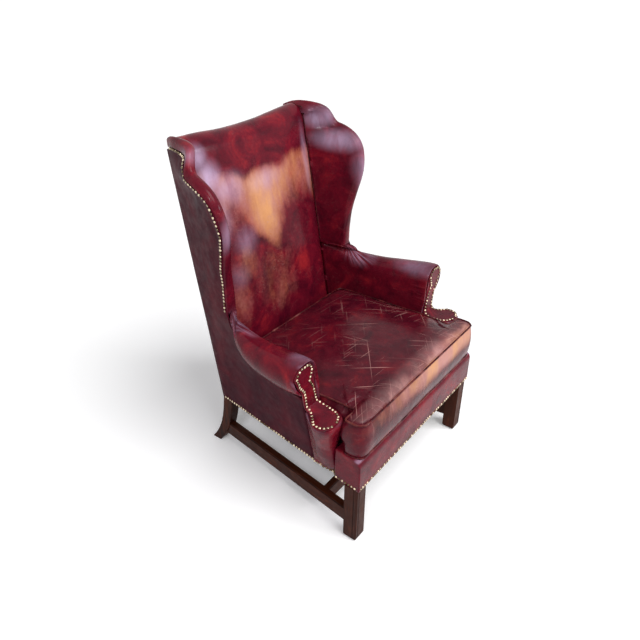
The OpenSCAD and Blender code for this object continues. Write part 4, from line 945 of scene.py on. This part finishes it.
def nail_head():
    """The mesh of a domed head with a radius of 1, round +Z."""
    bm = bmesh.new()
    line = [bm.verts.new((r, 0, h)) for r, h in HEAD]
    edges = [bm.edges.new(pair) for pair in zip(line, line[1:])]
    bmesh.ops.spin(bm, geom=line + edges, cent=(0, 0, 0), axis=(0, 0, 1), angle=2 * math.pi,
                   steps=HEAD_SIDES, use_merge=True)
    bmesh.ops.remove_doubles(bm, verts=bm.verts, dist=0.001)
    bmesh.ops.holes_fill(bm, edges=[e for e in bm.edges if e.is_boundary], sides=HEAD_SIDES)
    bmesh.ops.recalc_face_normals(bm, faces=bm.faces)
    mesh = bpy.data.meshes.new("nail_head")
    bm.to_mesh(mesh)
    bm.free()
    return mesh


head = nail_head()
print("nail head:", len(head.vertices), "vertices,", len(head.polygons), "faces")

# %% Rows of nails
HEAD_DEEP = 2.6 * MM  # from the top of a CAD nail down to the leather
skin_tree = skin(*pieces.values())
rng = np.random.default_rng(7)


def islands(bm):
    """The separate solids of a BMesh, each as the places of its vertices."""
    seen, out = set(), []
    for start in bm.verts:
        if start in seen:
            continue
        seen.add(start)
        stack, group = [start], []
        while stack:
            v = stack.pop()
            group.append(v.co)
            for e in v.link_edges:
                w = e.other_vert(v)
                if w not in seen:
                    seen.add(w)
                    stack.append(w)
        out.append(np.array(group))
    return out


def nail_seat(group, drawn):
    """Where the head of one CAD nail sits on the leather, and its axis."""
    middle = group.mean(0)
    reach = np.linalg.norm(group - middle, axis=1)
    tip = group[reach > 0.9 * reach.max()].mean(0)
    axis = Vector(middle - tip).normalized()
    spot = Vector(tip) + axis * (((group - tip) @ np.array(axis)).max() - HEAD_DEEP)
    if drawn:
        spot.y -= lap(spot.z)
    u = axis.orthogonal().normalized()
    ring = [u, -u, axis.cross(u), -axis.cross(u)]
    hits = [skin_tree.ray_cast(spot + r * 2.6 * MM + axis * 14 * MM, -axis, 24 * MM) for r in ring]
    lifts = sorted((h[0] - spot).dot(axis) for h in hits if h[0] is not None)
    if lifts:
        spot = spot + axis * max(min(lifts[-1] - 0.2 * MM, 9 * MM), (-9 if drawn else -2) * MM)
    return spot, axis


def nails(node, name, drawn=False):
    """Heads in place of the nails of one CAD node, drawn forwards with the side panels or not."""
    bm, each = bmesh.new(), []
    for group in islands(welded(node)):
        spot, axis = nail_seat(group, drawn)
        axis = (axis + Vector(rng.normal(0, 0.05, 3))).normalized()
        u = axis.orthogonal().normalized()
        radius = NAIL_R * rng.uniform(0.96, 1.03)
        each += [rng.uniform()] * len(head.vertices)
        turn = Matrix((u, axis.cross(u), axis)).transposed().to_4x4()
        bm.from_mesh(head)
        bm.verts.ensure_lookup_table()
        bmesh.ops.transform(bm, matrix=Matrix.Translation(spot) @ turn @ Matrix.Scale(radius, 4),
                            verts=bm.verts[-len(head.vertices):])
    obj = finish_mesh(bm, name)
    set_attribute(obj, "each", each)
    obj.data.materials.append(brass)
    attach(obj, "chair")
    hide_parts(node)
    return len(each) // len(head.vertices)


for place in ("front", "rear", "left", "right", "facing_left", "facing_right"):
    n = "nails_" + place
    print(n, nails(n, n + "_heads", drawn=place in SIDES), "heads")
bpy.data.meshes.remove(head)

# %% [markdown]
# ## Welts
# A welt is a cord sewn into a strip of leather. A curve with a round bevel could make it.
# Here rings of points are swept along the CAD line, because the thickness of the cord wavers
# a little and the closed mesh can then be painted like the hides.

# %% Tubes along a line
def tube(name, path, radius, sides=10, closed=False, waver=0.0):
    """A round cord along a path, with rings square to it."""
    p = np.array(path)
    n = len(p)
    ahead = np.roll(p, -1, 0) if closed else np.vstack([p[1:], 2 * p[-1:] - p[-2:-1]])
    behind = np.roll(p, 1, 0) if closed else np.vstack([2 * p[:1] - p[1:2], p[:-1]])
    t = ahead - behind
    t /= np.linalg.norm(t, axis=1)[:, None]
    up = np.array([0, 0, 1.0]) if abs(t[:, 2]).mean() < 0.6 else np.array([1.0, 0, 0])
    u = np.cross(t, up)
    u /= np.linalg.norm(u, axis=1)[:, None]
    v = np.cross(u, t)
    r = radius * (1 + waver * hide_noise(p, 9, 5))
    verts = []
    for k in range(sides):
        a = 2 * math.pi * k / sides
        verts.append(p + r[:, None] * (math.cos(a) * v + math.sin(a) * u))
    verts = np.stack(verts, 1).reshape(-1, 3)
    faces = []
    for i in range(n if closed else n - 1):
        for k in range(sides):
            j, m = (i + 1) % n, (k + 1) % sides
            faces.append((i * sides + k, j * sides + k, j * sides + m, i * sides + m))
    if not closed:
        faces.append(list(range(sides)))
        faces.append([(n - 1) * sides + k for k in range(sides)][::-1])
    mesh = bpy.data.meshes.new(name)
    mesh.from_pydata([tuple(v) for v in verts], [], faces)
    for q in mesh.polygons:
        q.use_smooth = True
    obj = bpy.data.objects.new(name, mesh)
    scene.collection.objects.link(obj)
    return obj


def curve_through(points, closed, step=4 * MM):
    """Catmull-Rom points, evenly close together."""
    p = [Vector(q) for q in points]
    n = len(p)
    out = []
    for i in range(n if closed else n - 1):
        a, b, c, d = (p[(i + k) % n] if closed else p[min(max(i + k, 0), n - 1)] for k in (-1, 0, 1, 2))
        count = max(1, int((c - b).length / step))
        for s in range(count):
            x = s / count
            out.append(0.5 * (2 * b + (c - a) * x + (2 * a - 5 * b + 4 * c - d) * x * x
                              + (3 * b - 3 * c + d - a) * x ** 3))
    if not closed:
        out.append(p[-1])
    return [tuple(q) for q in out]


def ring_line(node):
    """The centre line of a closed CAD welt, from the vertices along its top."""
    bm = welded(node)
    high = max(v.co.z for v in bm.verts)
    low = min(v.co.z for v in bm.verts)
    top = [v for v in bm.verts if v.co.z > high - 0.1 * MM]
    first, line, last = top[0], [top[0]], None
    while True:
        step = [e.other_vert(line[-1]) for e in line[-1].link_edges]
        step = [w for w in step if w in top and w is not last and (w not in line or w is first)]
        if not step or (step[0] is first and len(line) > 2):
            break
        last = line[-1]
        line.append(step[0])
    out = [(v.co.x, v.co.y, (high + low) / 2) for v in line]
    bm.free()
    return out


top_line = ring_line("cushion_welt_top")
bottom_line = ring_line("cushion_welt_bottom")
print("welt rings:", len(top_line), len(bottom_line), "points")

# %% [markdown]
# ## Cushion
# The cushion is a T-shaped leather bag of feathers round a foam core. Its start shape is
# the CAD core. Cloth simulation with pressure fills it while the seams stay in place, so
# the panels swell between the welts as sewn leather does.

# %% Cushion: a closed bag with its seams held
BAG = ["cushion_core", "cushion_top", "cushion_boxing", "cushion_bottom"]
SEAM_NEAR = 8.5 * MM


def to_line(points, line):
    """Distance of each point to a closed polyline."""
    p = np.asarray(points)
    q = np.array(line)
    best = np.full(len(p), 1e9)
    for a, b in zip(q, np.roll(q, -1, 0)):
        d = b - a
        s = np.clip(((p - a) @ d) / (d @ d), 0, 1)
        best = np.minimum(best, np.linalg.norm(p - a - s[:, None] * d, axis=1))
    return best


bag = voxel_copy(BAG, "cushion_bag", 6 * MM, 2)
start = coords(bag)
on_seam = np.minimum(to_line(start, top_line), to_line(start, bottom_line)) < SEAM_NEAR
below = start[:, 2] < bottom_line[0][2] - 1 * MM
seams = bag.vertex_groups.new(name="seams")
seams.add([int(i) for i in np.nonzero(on_seam | below)[0]], 1.0, "REPLACE")
print("cushion bag:", len(start), "vertices,", int(on_seam.sum()), "on seams")

# %% Cushion: filling
FILL_FRAMES, FILL_PRESSURE, SWELL_CAP = 18, 4.0, 14 * MM


def filled(obj, frames, pressure):
    """Blows an object up like a cloth bag, without gravity, with its seams held."""
    cloth_mod = obj.modifiers.new("filling", "CLOTH")
    s = cloth_mod.settings
    s.quality = 6
    s.mass = 0.35
    s.tension_stiffness = s.compression_stiffness = 20
    s.shear_stiffness = 8
    s.bending_stiffness = 1.5
    s.use_pressure = True
    s.uniform_pressure_force = pressure
    s.effector_weights.gravity = 0
    s.vertex_group_mass = "seams"
    scene.frame_start, scene.frame_end = 1, frames
    cloth_mod.point_cache.frame_start, cloth_mod.point_cache.frame_end = 1, frames
    for f in range(1, frames + 1):
        scene.frame_set(f)
    applied(obj)
    scene.frame_set(1)


filled(bag, FILL_FRAMES, FILL_PRESSURE)
moved = coords(bag) - start
size = np.linalg.norm(moved, axis=1)
moved *= (np.minimum(size, SWELL_CAP) / np.maximum(size, 1e-9))[:, None]
set_coords(bag, start + moved)
print("filling moved the leather up to", round(size.max() * 1000, 1), "mm")
subdivided(bag, 1)
print("cushion faces:", len(bag.data.polygons))

# %% [markdown]
# ## Cushion against the arms
# A full cushion is pressed between the arms and touches them. Its side walls swell out along
# level rays until they meet the leather round them, and the push is evened out over the
# neighbouring vertices, so the walls stay round. The welts move with the bag.

# %% Cushion: lean on the arms
LEAN_REACH, LEAN_GAP, EVENING_ROUNDS = 20 * MM, 1.2 * MM, 24


def leaned(obj, others):
    """Side walls swell out until they touch the pieces round them."""
    trees = [skin(o) for o in others]
    co, out = coords(obj), np.zeros(len(obj.data.vertices))
    flat = normals(obj) * (1, 1, 0)
    size = np.linalg.norm(flat, axis=1)
    for i in np.nonzero(size > 0.6)[0]:
        way = Vector(flat[i] / size[i])
        hits = [tree.ray_cast(Vector(co[i]), way, LEAN_REACH)[3] for tree in trees]
        hits = [h for h in hits if h is not None]
        if hits:
            out[i] = max(min(hits) - LEAN_GAP, 0)
    edge_i, edge_j = np.array([e.vertices[:] for e in obj.data.edges]).T
    count = np.bincount(edge_i, minlength=len(co)) + np.bincount(edge_j, minlength=len(co))
    for _ in range(EVENING_ROUNDS):
        near = np.bincount(edge_i, out[edge_j], len(co)) + np.bincount(edge_j, out[edge_i], len(co))
        out = 0.5 * out + 0.5 * near / count
    way = flat / np.maximum(size, 1e-6)[:, None]
    moved = way * out[:, None] * rise(0.1, 0.6, size)[:, None]
    set_coords(obj, co + moved)
    return co, moved


def leaned_line(line):
    """A seam line moved with the leather round it."""
    out = []
    for c in line:
        near = lean_tree.find_n(c, 6)
        out.append(Vector(c) + sum((Vector(lean_by[i]) for _, i, _ in near), Vector()) / len(near))
    return out


around = [pieces[n % side + "_hide"] for side in SIDES for n in ("arm_column_%s", "arm_%s", "arm_facing_%s")]
unleaned, lean_by = leaned(bag, around)
lean_tree = KDTree(len(unleaned))
for i, c in enumerate(unleaned):
    lean_tree.insert(c, i)
lean_tree.balance()
keep(bag, BAG, cushion_hide, "cushion")
print("cushion leans out up to", round(np.abs(lean_by).max() * 1000, 1), "mm")

# %% [markdown]
# ## Folds of the cushion
# The soft corners of the cushion are creased where it is pulled in behind the arm fronts and
# sat flat in front. A finer cloth simulation would crease the leather too, but not in the
# places of the real one. So each fold follows a curve on the leather, with a ridge on one
# side and a valley on the other, and fades at both ends.

# %% Cushion: folds
FOLDS = (  # points along the fold, width and height in mm
    ([(-0.284, -0.276, 0.462), (-0.25, -0.288, 0.462), (-0.226, -0.306, 0.462), (-0.213, -0.35, 0.458)],
     12, 3.2),
    ([(-0.235, -0.239, 0.46), (-0.266, -0.268, 0.458), (-0.292, -0.302, 0.455)], 8, 1.6),
    ([(0.286, -0.262, 0.46), (0.255, -0.285, 0.462), (0.235, -0.325, 0.46)], 6, 1.8),
    ([(-0.332, -0.345, 0.455), (-0.315, -0.36, 0.456), (-0.28, -0.37, 0.456)], 5, 1.8),
    ([(0.3, -0.35, 0.456), (0.26, -0.364, 0.458), (0.2, -0.366, 0.459)], 6, 1.2))


def fold(obj, line, width_mm, height_mm):
    """A soft fold along a line on the top: a ridge on its left, a valley on its right."""
    co = coords(obj)
    best, side = np.full(len(co), 1e9), np.zeros(len(co))
    path = np.array(curve_through(line, False, 8 * MM))
    for a, b in zip(path[:-1], path[1:]):
        d = (b - a) / np.linalg.norm(b - a)
        along = np.clip((co - a) @ d, 0, np.linalg.norm(b - a))
        gap = co - a - along[:, None] * d
        far = np.linalg.norm(gap, axis=1)
        closer = far < best
        best[closer] = far[closer]
        side[closer] = (d[0] * gap[:, 1] - d[1] * gap[:, 0])[closer]
    ends = np.minimum(np.linalg.norm(co - path[0], axis=1), np.linalg.norm(co - path[-1], axis=1))
    t = best / (width_mm * MM)
    lift = np.sign(side) * t * np.exp(0.5 - t * t / 2) * rise(0, 0.03, ends + 0.008)
    set_coords(obj, co + normals(obj) * (lift * height_mm * MM)[:, None])


for line, width, height in FOLDS:
    fold(bag, line, width, height)
settle(bag, 1.6, 21)
print("cushion folds:", len(FOLDS))

# %% [markdown]
# ## Wear of the cushion
# People slide off the front of a seat. So the dye is gone from the front boxing and from the
# edge above it, most on the sitter's left, and scratches lie on the top. A pale highlight is
# painted into the colour along the front of the top.

# %% Cushion: wear, painted highlight and scratches
TOP_Z = top_line[0][2]
co = coords(bag)
x, y, z = co.T
above = rise(TOP_Z, TOP_Z + 0.006, z)
boxing = rise(TOP_Z - 0.085, TOP_Z - 0.02, z) * rise(TOP_Z + 0.006, TOP_Z, z) * rise(-0.35, -0.375, y)
boxing = boxing * np.interp(x, [-0.33, -0.2, 0, 0.15, 0.3, 0.345], [0.12, 0.4, 0.9, 1.2, 1.0, 0.4])
edge = above * rise(-0.335, -0.372, y) * np.interp(x, [-0.3, 0, 0.2, 0.33], [0.1, 0.3, 0.55, 0.6])
set_attribute(bag, "wear", np.clip(np.maximum(boxing, edge) + 0.07 * hide_noise(co, 60, 3), 0, 1))
# painted highlight along the front slope of the top panel
bloom = 0.4 * above * rise(-0.31, -0.365, y) * rise(0.1, 0.7, hide_noise(co, 70, 9) + 0.5)
set_attribute(bag, "bloom", bloom * np.interp(x, [-0.33, -0.2, 0.1, 0.3], [0.4, 0.7, 1.0, 0.7]))
scratch = np.interp(y, [-0.38, -0.1, 0.12], [1.0, 0.8, 0.25]) * rise(-0.2, 0.35, hide_noise(co, 120, 6) + 0.2)
scratch = scratch * np.where(z > TOP_Z, 1.0, 0.5) * rise(0.6, 0.3, np.abs(normals(bag)[:, 0]))
set_attribute(bag, "scratch", scratch)
for n in ("pleat", "gather"):
    set_attribute(bag, n, np.zeros(len(co)))
print("cushion bare on", round(float((boxing > 0.5).mean()) * 100, 1), "% of its vertices")

# %% [markdown]
# ## Welts of the cushion
# One welt runs round the top seam of the boxing and one round the bottom seam. Their CAD
# lines moved with the leather when it leaned on the arms, so the cords stay on their seams.

# %% Cushion: welts
CUSHION_WELT_R, BACK_WELT_R = 3 * MM, 1.7 * MM
for node, line, name in (("cushion_welt_top", top_line, "cushion_top_welt"),
                         ("cushion_welt_bottom", bottom_line, "cushion_bottom_welt")):
    o = tube(name, leaned_line(curve_through(line, True)), CUSHION_WELT_R, 10, True, 0.08)
    keep(o, node, welt_hide, body="cushion")
    set_attribute(o, "wear", 0.35 * rise(0.2, 0.8, hide_noise(coords(o), 30, 8) + 0.4))
    print(name, len(o.data.polygons), "faces")

# %% [markdown]
# ## Welts of the back
# A thin welt closes the seam between the back and each wing, runs up it and over the crest.
# The CAD line lies where the seam was before the leather settled. So it is laid on the
# nearest leather and carried on over the crest with rays.

# %% Back: welts
OVER_CREST = 8  # points that carry a welt on over the crest
CREST_X, CREST_STEP = 0.2585, 0.0065


def welt_line(node, sides=6):
    """The centre line of an open CAD welt, from its rings of vertices."""
    up = Vector(lean)
    pts = np.array(sorted((tuple(v.co) for v in welded(node).verts), key=lambda c: Vector(c).dot(up)))
    inner = pts[1:-1] if len(pts) % sides == 2 else pts
    return inner.reshape(-1, sides, 3).mean(1)


skin_tree = skin(*pieces.values())
for side, s in zip(SIDES, (1, -1)):
    node = "back_welt_" + side
    line = [Vector(c) for c in welt_line(node)]
    seam = []
    for c in line:
        spot, normal = skin_tree.find_nearest(c)[:2]
        seam.append(spot + normal * 0.3 * MM)
    for k in range(1, OVER_CREST + 1):
        over = Vector((s * CREST_X, line[-1].y + CREST_STEP * k, 1.2))
        hit = skin_tree.ray_cast(over, Vector((0, 0, -1)))[0]
        if hit is not None and hit.z > 1.0:
            seam.append(hit + Vector((0, 0, 0.3 * MM)))
    o = tube(node + "_cord", curve_through(seam, False, 6 * MM), BACK_WELT_R, 8, False, 0.1)
    keep(o, node, welt_hide)
    set_attribute(o, "wear", 0.12 * rise(0.3, 0.8, hide_noise(coords(o), 30, 8) + 0.4))
    print(o.name, len(seam), "points")

# %% [markdown]
# ## Zip
# The cushion's zip runs along its rear. Two cloth tapes carry rows of small brass teeth that
# mesh in the middle. A tooth is less than 4 mm long, so a plain block is enough, and a loop
# places the blocks by turns on the upper and the lower tape. The slider keeps its CAD shape.

# %% Zip: tape, teeth and slider
TOOTH = 2.5 * MM  # spacing of the teeth on both tapes together
zip_co = np.array([v.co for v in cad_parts["cushion_zip"].data.vertices])
middle = (zip_co.max(0) + zip_co.min(0)) / 2
half = (zip_co.max(0) - zip_co.min(0)) / 2


def boxes(name, items, material):
    """One object on the cushion made of boxes (centre, half size)."""
    bm = bmesh.new()
    for centre, size in items:
        bmesh.ops.create_cube(bm, size=2, matrix=Matrix.Translation(centre) @ Matrix.Diagonal((*size, 1)))
    obj = finish_mesh(bm, name, smooth=False)
    obj.data.materials.append(material)
    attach(obj, "cushion")
    return obj


tape = boxes("cushion_zip_tape", [
    ((0, middle[1] - 0.3 * MM, middle[2] + s * half[2] / 2), (half[0], 0.3 * MM, half[2] / 2 - 0.2 * MM))
    for s in (-1, 1)], black_cloth)
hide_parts("cushion_zip")
teeth = boxes("cushion_zip_teeth", [
    ((-half[0] + TOOTH * (k + 0.5), middle[1] + 0.45 * MM, middle[2] + (1 if k % 2 else -1) * 0.9 * MM),
     (0.8 * MM, 0.7 * MM, 1.9 * MM)) for k in range(int(2 * half[0] / TOOTH))], brass)
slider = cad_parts["zip_slider"]
slider.data.materials.clear()
slider.data.materials.append(brass)
for obj, tone in ((teeth, 0.5), (slider, 0.7)):
    set_attribute(obj, "each", np.full(len(obj.data.vertices), tone))
print("zip teeth:", int(2 * half[0] / TOOTH))

# %% [markdown]
# ## Floor
# The chair stands on a plain pale floor that goes on past the horizon. What the camera sees
# of it, directly or as a reflection, glows a little, so it turns white away from the chair
# while the shadow stays, and no more light falls on the chair.

# %% Floor
FLOOR_HALF, FLOOR_GLOW = 30, 0.17


def seen_rays(tree):
    """1 for what is seen directly, in a reflection or through a clear piece."""
    path = add(tree, "LightPath", out=None)
    direct = add(tree, "Math", (path["Is Camera Ray"], path["Is Glossy Ray"]), operation="MAXIMUM")
    return add(tree, "Math", (direct, path["Is Transmission Ray"]), operation="MAXIMUM")


bm = bmesh.new()
bmesh.ops.create_grid(bm, x_segments=1, y_segments=1, size=FLOOR_HALF)
floor = finish_mesh(bm, "floor", smooth=False)
m, t, where = new_material("pale_floor")
clouds = layered(t, rgb("#fbfbfb"), (noise(t, where, 400, 2), rgb("#ffffff")))
glow = add(t, "Math", (seen_rays(t), FLOOR_GLOW), operation="MULTIPLY")
surface(t, Base_Color=clouds, Roughness=0.9, Emission_Color=(1, 1, 1, 1), Emission_Strength=glow)
floor.data.materials.append(m)
print("floor:", round(float(np.ptp(coords(floor)[:, 0]))), "m wide,", len(floor.data.polygons), "face")

# %% [markdown]
# ## Light
# Soft daylight falls from the front and above and gives the wide, weak shadow behind the
# chair. Two small windows, one at each side, give the crisp sheens on the leather. The world
# fills the shadows with a plain grey and looks white where it is seen.

# %% Lamps and world
COOL = (0.94, 0.93, 1)
WORLD_LIGHT = 0.27


def lamp(name, kind, at, look, power, colour, **shape):
    """A lamp at one point that shines towards another."""
    light = bpy.data.lights.new(name, kind)
    light.energy = power
    light.color = colour
    for key, value in shape.items():
        setattr(light, key, value)
    obj = bpy.data.objects.new(name, light)
    scene.collection.objects.link(obj)
    obj.location = at
    obj.rotation_mode = "QUATERNION"
    obj.rotation_quaternion = (Vector(look) - Vector(at)).to_track_quat("-Z", "Y")


lamp("daylight", "SUN", (0, -1.9, 2.8), (0, 0, 0), 2.3, (1, 1, 1), angle=math.radians(40))
for name, at, look, power, wide, high in (
        ("window", (1.7, -2.9, 1.9), (0, 0, 0.75), 25, 0.72, 0.64),
        ("side_window", (-2.2, -0.9, 2.5), (0, 0.1, 0.8), 24, 0.58, 0.5)):
    lamp(name, "AREA", at, look, power, COOL, shape="RECTANGLE", size=wide, size_y=high)
world = bpy.data.worlds.new("surroundings")
world.use_nodes = True
scene.world = world
t = world.node_tree
t.nodes.clear()
strength = add(t, "MapRange", (seen_rays(t), 0, 1, WORLD_LIGHT, 1.0), **SMOOTH)
air = add(t, "Background", {"Color": (1, 1, 1, 1), "Strength": strength})
add(t, "OutputWorld", {"Surface": air}, out=None)
print("lamps:", len(bpy.data.lights))

# %% [markdown]
# ## Camera
# The camera stands in front of the chair's right arm, a little higher than the chair. Its
# place, turn and lens were worked out from the chair's own parallel and vertical edges.

# %% Camera
FOCAL_PX, WIDTH_PX = 644.7266, 640
SENSOR_MM = 36
CAMERA_AT = (-1.46668, -1.0836, 1.62451)
YAW, PITCH, ROLL = 0.9224916, 0.5553136, -0.0028157  # radians, to the right, down and clockwise
lens = bpy.data.cameras.new("camera")
lens.sensor_width = SENSOR_MM
lens.lens = FOCAL_PX / WIDTH_PX * SENSOR_MM
lens.clip_start, lens.clip_end = 0.01, 200
camera = bpy.data.objects.new("camera", lens)
scene.collection.objects.link(camera)
turn = (Matrix.Rotation(-YAW, 4, "Z") @ Matrix.Rotation(math.pi / 2 - PITCH, 4, "X")
        @ Matrix.Rotation(-ROLL, 4, "Z"))
camera.matrix_world = Matrix.Translation(CAMERA_AT) @ turn
scene.camera = camera
scene.view_settings.view_transform = "Standard"
print("camera:", round(lens.lens, 2), "mm lens")
